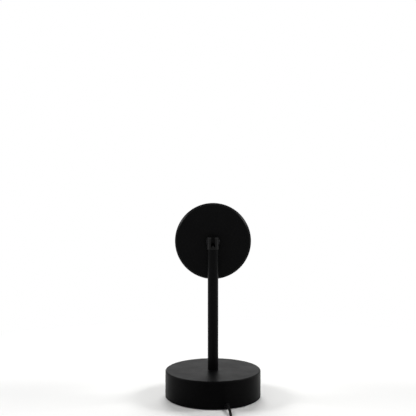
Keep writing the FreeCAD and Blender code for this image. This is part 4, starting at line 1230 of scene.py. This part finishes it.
def makeRingTree(values):
    # rings round the X axis, growing from the first to the last
    lengths = ("Pitch", "Small Radius", "Large Radius", "Thickness")
    tree, given = startTree("rings", lengths, [("Count", "Int")])
    number = newOutput(tree, "GeometryNodeInputIndex")
    last = addMaths(tree, "SUBTRACT", given["Count"], 1.0)
    spread = addMaths(tree, "SUBTRACT", given["Large Radius"], given["Small Radius"])
    growth = product(tree, number, addMaths(tree, "DIVIDE", spread, last))
    reach = addMaths(tree, "ADD", given["Small Radius"], growth)
    turned = ("Rotation", (0, math.radians(90), 0))
    scaled = ("Scale", vectorOf(tree, reach, reach, reach))
    circle = circleOf(tree, 1.0, values["points"])
    circles = onPoints(tree, rowOf(tree, given), circle, turned, scaled)
    circles = newOutput(tree, "GeometryNodeRealizeInstances", [("Geometry", circles)])
    profile = circleOf(tree, given["Thickness"], values["sides"])
    swept = newOutput(tree, "GeometryNodeCurveToMesh", [("Curve", circles), ("Profile Curve", profile)])
    return endTree(tree, given, onPoints(tree, given["Geometry"], swept))


def makePlugGrip(ribs, rings):
    made = []
    for name, makeTree, values in (("plugRibs", makeRibTree, ribs), ("plugRings", makeRingTree, rings)):
        tree, count = makeTree(values), {"Count": values["count"]}
        piece = growPiece(name, tree, [values["start"]], values["sizes"], count, "blackMoulding")
        adopt(piece, "stand", "black_plastic")
        made.append(piece)
    print("plug grip: done")
    return made


plugGrip = makePlugGrip(ribValues, ringValues)


# Floor, lights and world

floorValues = {
    "colour": (0.86, 0.86, 0.85),
    "roughness": 0.8,
    "specular": 0.1,
    "patches": (0.4, 0.01),
    "radius": 8.0,
    "sides": 48,
    "white": (0.07, 0.42),  # distances from the lamp between which the floor turns white
}
worldLight = 0.20
lampValues = {
    # place, aimed at, width, watts
    "keyLamp": ((0, 0.95, 1.15), (0, 0, 0.05), 0.55, 12.0),
    "leftFront": ((-0.60, -0.70, 1.20), (0, 0, 0.10), 0.55, 1.2),
    "rightFront": ((0.95, -0.65, 0.75), (0, 0, 0.10), 0.60, 0.8),
    "leftLamp": ((-1.00, 0.13, 0.78), (0, 0, 0.13), 0.34, 6.6),
    "rightLamp": ((1.00, 0.13, 0.78), (0, 0, 0.13), 0.34, 7.4),
}


def brightRays(tree):
    # 1 for the rays that see the background: from the camera, off gloss and through glass
    rays = addNode(tree, "ShaderNodeLightPath").outputs
    seen = addMaths(tree, "MAXIMUM", rays["Is Camera Ray"], rays["Is Glossy Ray"])
    return addMaths(tree, "MAXIMUM", seen, rays["Is Transmission Ray"])


def makeWorld(light):
    world = bpy.data.worlds.new("studio")
    bpy.context.scene.world = world
    world.use_nodes = True
    tree = world.node_tree
    sky = tree.nodes["Background"]
    strength = addRange(tree, brightRays(tree), light, 1.0, (0.0, 1.0))
    feed(tree, sky, [("Color", (1, 1, 1, 1)), ("Strength", strength)])


def makeFloor(values):
    sides = values["sides"]
    mesh = bpy.data.meshes.new("floor")
    mesh.from_pydata(rimOf(values["radius"], sides), [], [list(range(sides))])
    floor = addObject("floor", mesh)
    material, tree, shader = startFinish("floorPaint", values)
    place = placeOn(tree)
    speckle(tree, shader, place, values["colour"], *values["patches"])
    white = newOutput(tree, "ShaderNodeEmission", [("Strength", 1.0)])
    far = addRange(tree, distanceOf(tree, place), 0.0, 1.0, values["white"])
    share = product(tree, far, brightRays(tree))
    links = [("Fac", share), (1, shader.outputs["BSDF"]), (2, white)]
    mix = newOutput(tree, "ShaderNodeMixShader", links)
    tree.links.new(mix, tree.nodes["Material Output"].inputs["Surface"])
    mesh.materials.append(material)


def makeLamps(values):
    for name, (place, target, width, watts) in values.items():
        data = bpy.data.lights.new(name, "AREA")
        data.shape = "SQUARE"
        data.size = width
        data.energy = watts
        lamp = addObject(name, data)
        lamp.location = place
        lamp.rotation_euler = (Vector(target) - Vector(place)).to_track_quat("-Z", "Y").to_euler()


makeWorld(worldLight)
makeFloor(floorValues)
makeLamps(lampValues)
bpy.context.scene.view_settings.view_transform = "Standard"
print("stage: done")
